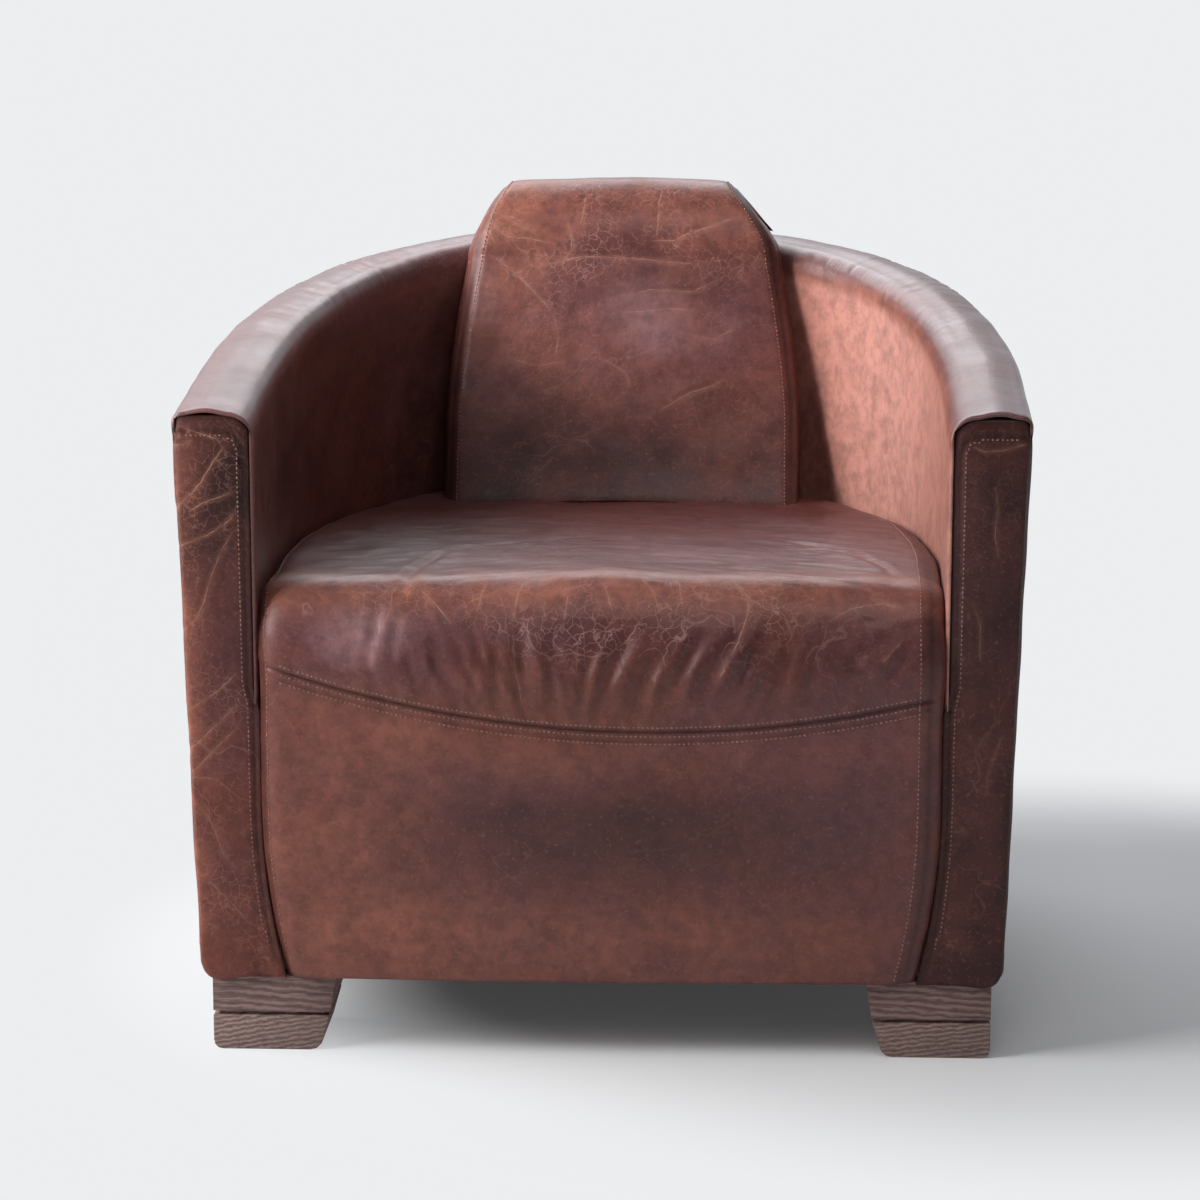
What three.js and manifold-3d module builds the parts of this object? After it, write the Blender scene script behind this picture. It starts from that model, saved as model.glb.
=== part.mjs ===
// A worn leather club chair: a padded tub on a hardwood frame, a sprung tight seat with a sewn front
// apron, a tapered back pad that rolls over the rim, and four grooved oak feet.
// Millimetres, +Z up, +Y towards the back, origin on the floor under the middle of the chair.
import * as THREE from "three";
import { mergeVertices } from "three/addons/utils/BufferGeometryUtils.js";
import Module from "manifold-3d";

const wasm = await Module();
wasm.setup();

// Driving dimensions of the tub
const tubHalfWidth = 378;
const tubFrontY = -375;
const tubBackY = 390;
const widestY = -200;
const frontPinch = 5;
const planPower = 2.5;
const sideTaper = 15;
const undersideZ = 70.3;
const rimFrontZ = 578;
const rimBackZ = 680;
const rimRise = 1.2;
const wallWidth = 72;
const backWallWidth = 78;
const seatSpaceHalfWidth = tubHalfWidth - wallWidth;
const seatSpaceBackY = tubBackY - backWallWidth;
const innerBellyZ = 230;
const innerBelly = 19;
const topOuterRadius = 13;
const topInnerRadius = 24;
const underRadius = 12;
const frontLip = 5;
const facingPadLip = 0.35;
const facingPadSide = 0.95;
const facingCorner = 6;
const facingStep = 1.4;
const bendStations = 9;
const bendShare = 0.75;

// Driving dimensions of the upholstery
const leather = 1.5;
const foamGap = 1.3;
const seamGap = 0.01;
const gussetGap = 0.06;
const seatGap = 0.3;
const board = 4;
const innerPadding = 24;
const topPadding = 18;
const facingPadding = 12;
const coverSeamDrop = 1;
const underWrap = 34;
const dustCover = 1.2;
const innerPaddingFootZ = 317;
const bellyShares = [0, 0.24, 0.56, 1];

// Driving dimensions of the frame
const railHeight = 45;
const railDepth = 36;
const topRailHeight = 28;
const postWidth = 45;
const slopeGap = 0.8;
const frontRailDepth = 25;
const seatRailHeight = 40;
const seatRailDepth = 38;
const backRailOverlap = 15;
const cornerBlock = 78;
const cornerBlockHeight = 40;

// Driving dimensions of the springs
const springCount = 4;
const springSpacing = 120;
const springWidth = 50;
const springStep = 26;
const wireRadius = 1.9;
const clipWidth = 30;
const clipDepth = 12;
const clipWall = 3;
const insulator = 3.3;

// Driving dimensions of the seat
const apronReach = 16;
const seatFrontY = tubFrontY - apronReach;
const seatBackY = seatSpaceBackY - 16;
const seatDeckY = seatBackY - 171;
const seatTopZ = 430;
const seatStack = 128;
const seatRailTopZ = seatTopZ - seatStack;
const seatRearDrop = 10;
const rollDepth = 58;
const rollDrop = 92;
const apronTuck = 6;
const tuckPower = 3;
const seatEdgeWidth = 26;
const seatEdgeDepth = 16;
const seatCrown = 4;
const sideClearance = 1;
const seamLowZ = 291;
const seamRise = 52;
const gussetDepth = 40;

// Driving dimensions of the back pad
const padDepth = 181;
const padFrontY = seatSpaceBackY - padDepth;
const padRise = 70;
const padTopZ = rimBackZ + padRise;
const padBaseHalfWidth = 182;
const padNeckHalfWidth = 161;
const padCrestHalfWidth = 134;
const padNeckZ = rimBackZ - 20;
const padNeckPower = 1.5;
const padCrestPower = 1.5;
const padLean = 97;
const padLeanPower = 0.75;
const padEdgeWidth = 18;
const padEdgeDepth = 16;
const padRollZ = rimBackZ - 12;
const padCrestY = tubBackY - 90;
const padWaistZ = rimBackZ - 180;
const padCrown = 8;
const padRearY = tubBackY - 4;
const padSideGap = 1.5;
const padSeatClearance = 0.5;
const padRimClearance = 1;

// Driving dimensions of the feet
const footHeight = 70;
const footSplitZ = 32;
const grooveHeight = 3.6;
const grooveDepth = 5;
const footTopWidth = 112;
const footSlant = 13;
const footDepth = 95;
const footInset = 30;
const footOuterX = tubHalfWidth - footInset;
const footFrontY = tubFrontY + 4;
const rearFootInset = 156;
const rearFootOuterX = tubHalfWidth - rearFootInset;
const rearFootBackY = tubBackY - 116;
const footCorner = 8;
const footInnerCorner = 12;
const boltRadius = 4;
const boltHoleGap = 0.3;
const boltHead = 14;
const boltHeadHeight = 7;
const boltHeadRoom = 1;
const boltInBlock = 32;

// Colours and finishes
const hide = { color: 0x6b4238, roughness: 0.45, metalness: 0 };
const foam = { color: 0xd9cfa6, roughness: 0.95, metalness: 0 };
const beech = { color: 0xc6a176, roughness: 0.7, metalness: 0 };
const oak = { color: 0x4c3f38, roughness: 0.75, metalness: 0 };
const fibreboard = { color: 0x8a6c4e, roughness: 0.85, metalness: 0 };
const felt = { color: 0x77706a, roughness: 1, metalness: 0 };
const cambric = { color: 0x1c1b1c, roughness: 1, metalness: 0 };
const steel = { color: 0x8f9296, roughness: 0.4, metalness: 0.9 };

const chair = new THREE.Group();

function addPiece(name, geometry, finish) {
  const mesh = new THREE.Mesh(geometry, new THREE.MeshStandardMaterial(finish));
  mesh.name = name;
  chair.add(mesh);
}

function lerp(a, b, share) {
  return a + (b - a) * share;
}

function point(x, y, z) {
  return new THREE.Vector3(x, y, z);
}

// The ring seen square on, for filling an end: the axis that its plane faces most is dropped.
function flattened(ring) {
  const facing = new THREE.Vector3();
  ring.forEach((p, i) => facing.add(new THREE.Vector3().crossVectors(p, ring[(i + 1) % ring.length])));
  const away = facing.toArray().map(Math.abs);
  const dropped = away.indexOf(Math.max(...away));
  return ring.map((p) => new THREE.Vector2(...p.toArray().filter((_, axis) => axis !== dropped)));
}

// Fills an outline with triangles that use every point, in line with its neighbours or not. It cuts
// off the best shaped free corner until three points are left.
function fillOutline(outline) {
  const turn = Math.sign(THREE.ShapeUtils.area(outline));
  const doubleArea = (a, b, c) => turn * ((b.x - a.x) * (c.y - a.y) - (b.y - a.y) * (c.x - a.x));
  const holds = (a, b, c, p) =>
    doubleArea(a, b, p) >= -1e-9 && doubleArea(b, c, p) >= -1e-9 && doubleArea(c, a, p) >= -1e-9;
  const left = outline.map((_, i) => i);
  const faces = [];
  while (left.length > 3) {
    let best = { quality: -1, at: 0 };
    left.forEach((b, at) => {
      const before = left[(at + left.length - 1) % left.length];
      const after = left[(at + 1) % left.length];
      const [p, q, r] = [outline[before], outline[b], outline[after]];
      const sides = p.distanceToSquared(q) + q.distanceToSquared(r) + r.distanceToSquared(p);
      const quality = doubleArea(p, q, r) / sides;
      const free = left.every((i) => i === before || i === b || i === after || !holds(p, q, r, outline[i]));
      if (quality > Math.max(best.quality, 1e-7) && free) {
        best = { quality, at };
      }
    });
    const { at } = best;
    faces.push([left[(at + left.length - 1) % left.length], left[at], left[(at + 1) % left.length]]);
    left.splice(at, 1);
  }
  return [...faces, left];
}

// Joins rings of points, each with as many points as the next, into one closed solid.
function loft(rings) {
  const count = rings[0].length;
  const faces = [];
  for (let r = 0; r + 1 < rings.length; r++) {
    for (let i = 0; i < count; i++) {
      const a = r * count + i;
      const b = r * count + ((i + 1) % count);
      faces.push([a, b, b + count], [a, b + count, a + count]);
    }
  }
  for (const [r, along] of [[0, false], [rings.length - 1, true]]) {
    for (const [a, b, c] of fillOutline(flattened(rings[r]))) {
      faces.push((along ? [a, b, c] : [a, c, b]).map((i) => i + r * count));
    }
  }
  const points = rings.flat();
  let volume = 0;
  for (const [a, b, c] of faces) {
    volume += new THREE.Vector3().crossVectors(points[b], points[c]).dot(points[a]);
  }
  if (volume < 0) {
    faces.forEach((face) => face.reverse());
  }
  const geometry = new THREE.BufferGeometry().setFromPoints(points);
  geometry.setIndex(faces.flat());
  geometry.computeVertexNormals();
  return geometry;
}

function asSolid(geometry) {
  const bare = geometry.clone();
  bare.deleteAttribute("normal");
  bare.deleteAttribute("uv");
  const merged = mergeVertices(bare, 1e-3);
  return new wasm.Manifold(
    new wasm.Mesh({
      numProp: 3,
      vertProperties: merged.attributes.position.array,
      triVerts: new Uint32Array(merged.index.array),
    }),
  );
}

function asGeometry(solid) {
  const made = solid.getMesh();
  const geometry = new THREE.BufferGeometry();
  geometry.setAttribute("position", new THREE.BufferAttribute(made.vertProperties, 3));
  geometry.setIndex(new THREE.BufferAttribute(made.triVerts, 1));
  geometry.computeVertexNormals();
  return geometry;
}

function block(low, high) {
  const size = high.map((value, axis) => value - low[axis]);
  const geometry = new THREE.BoxGeometry(...size);
  geometry.translate(...low.map((value, axis) => value + size[axis] / 2));
  return geometry;
}

// An upright round bar between two heights.
function uprightBar(x, y, lowZ, highZ, radius, sides = 12) {
  const geometry = new THREE.CylinderGeometry(radius, radius, highZ - lowZ, sides);
  geometry.rotateX(Math.PI / 2);
  geometry.translate(x, y, (lowZ + highZ) / 2);
  return geometry;
}

// A quarter turn about a corner's centre, as shares of its radius across and up.
function quarterTurn(steps) {
  return Array.from({ length: steps + 1 }, (_, i) => {
    const angle = (i / steps) * (Math.PI / 2);
    return [Math.sin(angle), Math.cos(angle)];
  });
}

// The tub in plan. A station runs from -1 at the left arm's front, through 0 at the centre back, to 1.
function planStation(station, halfWidth, backY) {
  const along = Math.abs(station);
  const side = Math.sign(station) || 1;
  if (along > bendShare) {
    const forward = (along - bendShare) / (1 - bendShare);
    return [side * (halfWidth - frontPinch * forward), lerp(widestY, tubFrontY, forward)];
  }
  const angle = (1 - along / bendShare) * (Math.PI / 2);
  const across = Math.max(Math.cos(angle), 0) ** (2 / planPower);
  return [side * halfWidth * across, widestY + (backY - widestY) * Math.sin(angle) ** (2 / planPower)];
}

// Every layer of the wall bends at the same stations, so the layers nest.
const bendStep = bendShare / bendStations;

function planPoint(station, halfWidth, backY) {
  if (Math.abs(station) >= bendShare) {
    return planStation(station, halfWidth, backY);
  }
  const before = Math.floor(station / bendStep + 1e-9) * bendStep;
  const from = planStation(before, halfWidth, backY);
  const to = planStation(before + bendStep, halfWidth, backY);
  const share = (station - before) / bendStep;
  return [lerp(from[0], to[0], share), lerp(from[1], to[1], share)];
}

function stationsBetween(from, to) {
  const stations = [from];
  for (let i = -bendStations; i <= bendStations; i++) {
    if (i * bendStep > from + 1e-6 && i * bendStep < to - 1e-6) {
      stations.push(i * bendStep);
    }
  }
  stations.push(to);
  return stations;
}

function stationAtY(y) {
  return bendShare + ((1 - bendShare) * (widestY - y)) / (widestY - tubFrontY);
}

// The tub's outer face at a height, moved inwards by an inset.
function outerPoint(station, z, inset) {
  const rim = rimHeight(station);
  const taper = (sideTaper * (rim - z)) / (rim - undersideZ);
  const [x, y] = planPoint(station, tubHalfWidth - taper - inset, tubBackY - taper - inset);
  return point(x, y, z);
}

// The tub's inner face at a height, moved into the wall by an inset.
function innerPoint(station, z, inset) {
  const [x, y] = planPoint(station, seatSpaceHalfWidth + inset, seatSpaceBackY + inset);
  return point(x - Math.sign(x) * bellyAt(z), y, z);
}

function bellyAt(z) {
  const below = Math.max(0, innerBellyZ - z) / (innerBellyZ - undersideZ);
  return innerBelly * below ** 2;
}

// The rim climbs from the arm fronts to the back, straight between one bend station and the next.
function rimHeight(station) {
  const rimAt = (along) => {
    const [, y] = planStation(along, tubHalfWidth, tubBackY);
    return rimFrontZ + (rimBackZ - rimFrontZ) * ((y - tubFrontY) / (tubBackY - tubFrontY)) ** rimRise;
  };
  const along = Math.abs(station);
  if (along >= bendShare) {
    return lerp(rimAt(bendShare), rimAt(1), (along - bendShare) / (1 - bendShare));
  }
  const before = Math.floor(along / bendStep + 1e-9) * bendStep;
  return lerp(rimAt(before), rimAt(before + bendStep), (along - before) / bendStep);
}

// A length of the wall whose section is given, station by station, as a ring of points.
function wallLength(from, to, sectionAt) {
  return loft(stationsBetween(from, to).map(sectionAt));
}

// Over the rim: from the outer face, across the top and down the inner face to a height.
function overRim(station, inset, lowOuterDrop, footZ) {
  const rim = rimHeight(station) - inset;
  const turn = quarterTurn(3);
  const outerCorner = topOuterRadius - inset;
  const innerCorner = topInnerRadius - inset;
  const line = [outerPoint(station, rim + inset - lowOuterDrop, inset)];
  for (const [out, up] of [...turn].reverse()) {
    const z = rim - outerCorner * (1 - up);
    line.push(outerPoint(station, z, inset + outerCorner * (1 - out)));
  }
  for (const [out, up] of turn) {
    const z = rim - innerCorner * (1 - up);
    line.push(innerPoint(station, z, inset + innerCorner * (1 - out)));
  }
  line.push(innerPoint(station, footZ, inset));
  return line;
}

// Feet: an oak block in two glued layers, with a neck between them that leaves a groove all round,
// and a bolt up into the frame's corner block.
function footOutline(lowZ, highZ, rounded, inset = 0) {
  const innerX = (z) => footOuterX - footTopWidth + (footSlant * (footHeight - z)) / footHeight;
  const outer = footOuterX - inset;
  const line = [[innerX(highZ) + inset, highZ], [outer, highZ]];
  if (!rounded) {
    return [...line, [outer, lowZ], [innerX(lowZ) + inset, lowZ]];
  }
  for (const [out, up] of quarterTurn(3).reverse()) {
    line.push([outer - footCorner * (1 - out), lowZ + footCorner * (1 - up)]);
  }
  for (const [out, up] of quarterTurn(3)) {
    line.push([innerX(lowZ) + footInnerCorner * (1 - out), lowZ + footInnerCorner * (1 - up)]);
  }
  return line;
}

function footLayer(outline, frontY, depth, mirror, outward) {
  const ringAt = (y) => outline.map(([x, z]) => point(mirror * (x + outward), y, z));
  return asSolid(loft([ringAt(frontY), ringAt(frontY + depth)]));
}

const footPlaces = [
  { name: "front_left", side: -1, outerX: footOuterX, frontY: footFrontY },
  { name: "front_right", side: 1, outerX: footOuterX, frontY: footFrontY },
  { name: "rear_left", side: -1, outerX: rearFootOuterX, frontY: rearFootBackY - footDepth },
  { name: "rear_right", side: 1, outerX: rearFootOuterX, frontY: rearFootBackY - footDepth },
].map((place) => ({
  ...place,
  boltX: place.side * (place.outerX - footTopWidth / 2),
  boltY: place.frontY + footDepth / 2,
}));

const upperFootZ = footSplitZ + grooveHeight;
const blockFootZ = undersideZ + dustCover + 2 * seatGap;

for (const { name, side, outerX, frontY, boltX, boltY } of footPlaces) {
  const outward = outerX - footOuterX;
  const neckDepth = footDepth - 2 * grooveDepth;
  const hole = boltRadius + boltHoleGap;
  const headHole = boltHead / 2 + boltHoleGap;
  const boltLowZ = footSplitZ - boltHead;
  const upper = footLayer(footOutline(upperFootZ, footHeight, false), frontY, footDepth, side, outward);
  const lower = footLayer(footOutline(0, footSplitZ, true), frontY, footDepth, side, outward);
  const neckOutline = footOutline(footSplitZ - 1, upperFootZ - seatGap, false, grooveDepth);
  const neck = footLayer(neckOutline, frontY + grooveDepth, neckDepth, side, outward);
  const shaftHole = asSolid(uprightBar(boltX, boltY, boltLowZ, footHeight + 1, hole));
  const recessTopZ = boltLowZ + boltHeadHeight + boltHeadRoom;
  const headRecess = asSolid(uprightBar(boltX, boltY, boltLowZ - seatGap, recessTopZ, headHole));
  addPiece(`foot_upper_${name}`, asGeometry(upper.subtract(shaftHole)), oak);
  addPiece(`foot_lower_${name}`, asGeometry(lower.add(neck).subtract(shaftHole).subtract(headRecess)), oak);
  const shaft = uprightBar(boltX, boltY, boltLowZ, blockFootZ + boltInBlock, boltRadius);
  const head = uprightBar(boltX, boltY, boltLowZ, boltLowZ + boltHeadHeight, boltHead / 2, 6);
  addPiece(`foot_bolt_${name}`, asGeometry(asSolid(shaft).add(asSolid(head))), steel);
}

// Frame: base rails bandsawn to the tub's plan, a front cross rail, and a block over each foot.
const facingStack = leather + facingPadding + 2 * seatGap;
const frameFrontY = tubFrontY + facingStack;
const frameFront = stationAtY(frameFrontY);
const boardInset = leather + seatGap;
const frameInset = boardInset + board + seatGap;
const frameInnerInset = leather + innerPadding + 2 * seatGap;
const railFootZ = undersideZ + leather + seatGap;
const railTopZ = railFootZ + railHeight;
const quarter = 3 * bendStep;
// How far one whole station goes along the wall, on the straight arms and in the bend.
const armRun = (widestY - tubFrontY) / (1 - bendShare);
const bendRun = 1200;
const joint = seatGap / bendRun;

function baseRailSection(station) {
  const low = frameInset + railDepth;
  return [
    outerPoint(station, railFootZ, underRadius + seatGap),
    outerPoint(station, railFootZ, low),
    outerPoint(station, railTopZ, low),
    outerPoint(station, railTopZ, frameInset),
    outerPoint(station, railFootZ + underRadius, frameInset),
  ];
}

function topRailSection(station) {
  const high = rimHeight(station) - leather - topPadding - seatGap - slopeGap;
  return [
    outerPoint(station, high - topRailHeight, frameInset),
    outerPoint(station, high, frameInset),
    innerPoint(station, high, frameInnerInset),
    innerPoint(station, high - topRailHeight, frameInnerInset),
  ];
}

const spans = [
  ["left", -frameFront, -quarter - joint],
  ["back", -quarter, quarter],
  ["right", quarter + joint, frameFront],
];
for (const [name, from, to] of spans) {
  addPiece(`base_rail_${name}`, wallLength(from, to, baseRailSection), beech);
  addPiece(`top_rail_${name}`, wallLength(from, to, topRailSection), beech);
}

// Posts stand between the base rails and the top rails.
function postSection(station) {
  const high = rimHeight(station) - leather - topPadding - topRailHeight - seatGap - 2 * slopeGap;
  const low = railTopZ + seatGap;
  return [
    outerPoint(station, low, frameInset),
    outerPoint(station, high, frameInset),
    innerPoint(station, high, frameInnerInset),
    innerPoint(station, low, frameInnerInset + bellyAt(low)),
  ];
}

const postStations = postWidth / armRun;
const rearPost = quarter + postStations / 2;
const midPost = 0.62;
for (const [side, turn] of [["left", -1], ["right", 1]]) {
  const places = [
    ["arm_front_post", frameFront - postStations, frameFront],
    ["arm_middle_post", midPost, midPost + postStations],
    ["back_post", rearPost, rearPost + postStations],
  ];
  for (const [name, low, high] of places) {
    const ends = turn > 0 ? [low, high] : [-high, -low];
    addPiece(`${name}_${side}`, wallLength(...ends, postSection), beech);
  }
}

const railInset = frameInset + railDepth + seatGap;
const crossRailHalf = outerPoint(1, railFootZ, railInset).x;
addPiece(
  "front_bottom_rail",
  block([-crossRailHalf, frameFrontY, railFootZ], [crossRailHalf, frameFrontY + frontRailDepth, railTopZ]),
  beech,
);

function cornerBlockWithHole({ side, boltX, boltY, frontY, outerX }) {
  const front = frontY === footFrontY;
  const low = front ? frameFrontY + frontRailDepth + seatGap : boltY - cornerBlock / 2;
  const reach = outerX - footTopWidth / 2 + cornerBlock / 4;
  const [leftX, rightX] = [side * reach, side * (reach - cornerBlock)].sort((a, b) => a - b);
  const high = [rightX, low + cornerBlock, blockFootZ + cornerBlockHeight];
  const holeTopZ = blockFootZ + boltInBlock + seatGap;
  const hole = uprightBar(boltX, boltY, blockFootZ - 1, holeTopZ, boltRadius + boltHoleGap);
  return asGeometry(asSolid(block([leftX, low, blockFootZ], high)).subtract(asSolid(hole)));
}

for (const place of footPlaces) {
  addPiece(`corner_block_${place.name}`, cornerBlockWithHole(place), beech);
}

// Seat rails: the front one runs between the front posts, the back one bears on the back posts.
// Each carries the steel clips that hold the spring ends, pressed onto it.
const springZ = seatRailTopZ + clipWall + wireRadius;
const springXs = Array.from({ length: springCount }, (_, i) => (i - (springCount - 1) / 2) * springSpacing);
const springFrontY = frameFrontY + seatRailDepth / 2;

function backRailInnerY(x) {
  return spaceDepthAt(Math.abs(x), -backRailOverlap);
}

// How far back the inner face lies at a distance from the middle, on the same flats as the wall.
function spaceDepthAt(x, inset) {
  const line = stationsBetween(0, 1).map((station) => innerPoint(station, rimFrontZ, inset));
  for (let i = 0; i + 1 < line.length; i++) {
    if (x <= line[i + 1].x) {
      return lerp(line[i].y, line[i + 1].y, (x - line[i].x) / (line[i + 1].x - line[i].x));
    }
  }
  return widestY;
}

// How wide the seat space is at a distance from the front, on the same flats as the wall.
function spaceHalfWidthAt(y, inset) {
  const line = stationsBetween(0, 1).map((station) => innerPoint(station, rimFrontZ, inset));
  for (let i = 0; i + 1 < line.length; i++) {
    if (y <= line[i].y && y >= line[i + 1].y) {
      return lerp(line[i].x, line[i + 1].x, (line[i].y - y) / (line[i].y - line[i + 1].y));
    }
  }
  return y > line[0].y ? 0 : seatSpaceHalfWidth + inset;
}

// A steel clip pressed onto a rail, with a channel that the spring's end bar lies in.
function withClips(rail, clipY) {
  const channel = wireRadius + seatGap;
  return springXs.reduce((solid, x) => {
    const y = clipY(x);
    const body = block(
      [x - clipWidth / 2, y - clipDepth / 2, seatRailTopZ - 1],
      [x + clipWidth / 2, y + clipDepth / 2, springZ + channel + clipWall],
    );
    const slot = block(
      [x - clipWidth / 2 - 1, y - channel, springZ - channel],
      [x + clipWidth / 2 + 1, y + channel, springZ + channel],
    );
    return solid.add(asSolid(body)).subtract(asSolid(slot));
  }, rail);
}

const seatRailHalf = spaceHalfWidthAt(tubFrontY, frameInnerInset - seatGap);
const frontSeatRail = block(
  [-seatRailHalf, frameFrontY, seatRailTopZ - seatRailHeight],
  [seatRailHalf, frameFrontY + seatRailDepth, seatRailTopZ],
);
addPiece("front_seat_rail", asGeometry(withClips(asSolid(frontSeatRail), () => springFrontY)), beech);

const backRailEnd = 5 * bendStep;
const backSeatRail = wallLength(-backRailEnd, backRailEnd, (station) => [
  innerPoint(station, seatRailTopZ - seatRailHeight, frameInnerInset - seatGap),
  innerPoint(station, seatRailTopZ, frameInnerInset - seatGap),
  innerPoint(station, seatRailTopZ, -backRailOverlap),
  innerPoint(station, seatRailTopZ - seatRailHeight, -backRailOverlap),
]);
addPiece("back_seat_rail", asGeometry(withClips(asSolid(backSeatRail), springBackY)), beech);

// Springs: a zigzag of steel wire, its end bars held in the clips.
function springBackY(x) {
  const lengthWanted = backRailInnerY(x) + clipDepth - springFrontY;
  return springFrontY + Math.ceil(lengthWanted / springStep) * springStep;
}

function wireAlong(path, radius, sides = 6) {
  const rings = path.map((p, i) => {
    const arriving = new THREE.Vector3().subVectors(p, path[Math.max(i - 1, 0)]).normalize();
    const leaving = new THREE.Vector3().subVectors(path[Math.min(i + 1, path.length - 1)], p).normalize();
    const heading = new THREE.Vector3().addVectors(arriving, leaving).normalize();
    const turned = i > 0 && i + 1 < path.length ? arriving.angleTo(leaving) / 2 : 0;
    const across = new THREE.Vector3(heading.y, -heading.x, 0).multiplyScalar(radius / Math.cos(turned));
    return Array.from({ length: sides }, (_, k) => {
      const angle = (2 * Math.PI * k) / sides;
      return p.clone().addScaledVector(across, Math.cos(angle)).add(point(0, 0, radius * Math.sin(angle)));
    });
  });
  return loft(rings);
}

springXs.forEach((x, i) => {
  const path = [];
  const bars = Math.round((springBackY(x) - springFrontY) / springStep);
  for (let bar = 0; bar <= bars; bar++) {
    const reach = bar % 2 ? -springWidth / 2 : springWidth / 2;
    const y = springFrontY + bar * springStep;
    path.push(point(x - reach, y, springZ), point(x + reach, y, springZ));
  }
  addPiece(`seat_spring_${i + 1}`, wireAlong(path, wireRadius), steel);
});

// A felt pad keeps the foam off the springs.
const feltZ = springZ + wireRadius + seatGap + clipWall + seatGap;
const feltFrontY = frameFrontY + seatGap;

// A flat sheet cut to the tub's plan, from the right half of its outline.
function planSheet(halfLine, lowZ, thickness) {
  const shape = new THREE.Shape();
  halfLine.forEach((p, i) => (i ? shape.lineTo(p.x, p.y) : shape.moveTo(p.x, p.y)));
  [...halfLine].reverse().filter((p) => p.x > 1e-6).forEach((p) => shape.lineTo(-p.x, p.y));
  const geometry = new THREE.ExtrudeGeometry(shape, { depth: thickness, bevelEnabled: false });
  geometry.translate(0, 0, lowZ);
  return geometry;
}

const feltLine = stationsBetween(0, stationAtY(feltFrontY))
  .map((station) => innerPoint(station, rimFrontZ, -sideClearance));
addPiece("spring_felt", planSheet(feltLine, feltZ, insulator), felt);

// The dust cover closes the underside, stapled inside the leather that wraps under the rails.
const wrapEnd = underRadius + underWrap;
const dustFrontY = seatFrontY + apronTuck + underWrap + seatGap;
const dustLine = stationsBetween(0, stationAtY(dustFrontY))
  .map((station) => outerPoint(station, undersideZ, wrapEnd + seatGap));
const dustSheet = footPlaces.reduce((sheet, { boltX, boltY }) => {
  const hole = uprightBar(boltX, boltY, undersideZ - 1, blockFootZ, boltRadius + boltHoleGap);
  return sheet.subtract(asSolid(hole));
}, asSolid(planSheet(dustLine, undersideZ, dustCover)));
addPiece("dust_cover", asGeometry(dustSheet), cambric);

// Fibreboard closes the outside of the frame, so the leather has something to lie on.
function boardSection(station) {
  const high = rimHeight(station) - leather - topPadding - seatGap - slopeGap;
  const low = railFootZ + underRadius;
  return [
    outerPoint(station, low, boardInset),
    outerPoint(station, high, boardInset),
    outerPoint(station, high, boardInset + board),
    outerPoint(station, low, boardInset + board),
  ];
}
for (const [name, from, to] of spans) {
  addPiece(`outside_board_${name}`, wallLength(from, to, boardSection), fibreboard);
}

// Foam over the rails and down the inside of the wall.
function tubFoamSection(station) {
  const inset = leather + seatGap;
  const low = rimHeight(station) - leather - topPadding - seatGap;
  return [
    ...overRim(station, inset, Math.max(topOuterRadius, leather + topPadding), innerPaddingFootZ),
    innerPoint(station, innerPaddingFootZ, inset + innerPadding),
    innerPoint(station, low, inset + innerPadding),
    outerPoint(station, low, inset),
  ].filter((p, i, line) => i === 0 || p.distanceTo(line[i - 1]) > 1e-3);
}
for (const [name, from, to] of spans) {
  addPiece(`tub_foam_${name}`, wallLength(from, to, tubFoamSection), foam);
}

// Over the facing's padding and the arm's front post the leather has a foam pad of its own. The
// section of the arm's front, from the foot of its outer edge over the top to the foot of its inner one.
function armFront(y, inset, lip = 0) {
  const low = undersideZ + leather + 3 * seatGap;
  const heights = bellyShares.map((share) => lerp(low, innerBellyZ, share));
  const station = stationAtY(y);
  const top = rimHeight(station) - inset - lip;
  const outerCorner = topOuterRadius - inset - lip;
  const innerCorner = topInnerRadius - inset - lip;
  const at = (p) => point(p.x, y, p.z);
  const turn = quarterTurn(3);
  return [
    at(outerPoint(station, low, underRadius + inset)),
    ...heights.map((z) =>
      at(outerPoint(station, Math.max(z, low + underRadius), inset + facingPadSide * lip))),
    ...[...turn].reverse().map(([out, up]) =>
      at(outerPoint(station, top - outerCorner * (1 - up), inset + lip + outerCorner * (1 - out)))),
    ...turn.map(([out, up]) =>
      at(innerPoint(station, top - innerCorner * (1 - up), inset + lip + innerCorner * (1 - out)))),
    ...[...heights].reverse().map((z) => at(innerPoint(station, z, inset + lip))),
  ];
}

function mirrored(ring, side) {
  return ring.map((p) => point(side * p.x, p.y, p.z));
}

for (const [name, side] of [["left", -1], ["right", 1]]) {
  const under = leather + seatGap;
  const lips = [[under, frontLip], [frontLip, frontLip * facingPadLip], [2 * frontLip, 0]];
  const rings = [...lips, [facingPadding + under, 0]]
    .map(([back, lip]) => mirrored(armFront(tubFrontY + back, under, lip), side));
  addPiece(`facing_pad_${name}`, loft(rings), foam);
}

// Arm covers: one hide over the arm's top and down its inside, tucked beside the seat. At the front
// it turns over the facing's edge.
const coverBackStation = 0.5 * seatGap / tubHalfWidth;
function armCoverRing(station, lip) {
  return [...overRimTucked(station, lip), ...overRimTucked(station, lip + leather).reverse()];
}

function overRimTucked(station, inset) {
  return overRim(station, inset, topOuterRadius + coverSeamDrop, innerPaddingFootZ);
}

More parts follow.
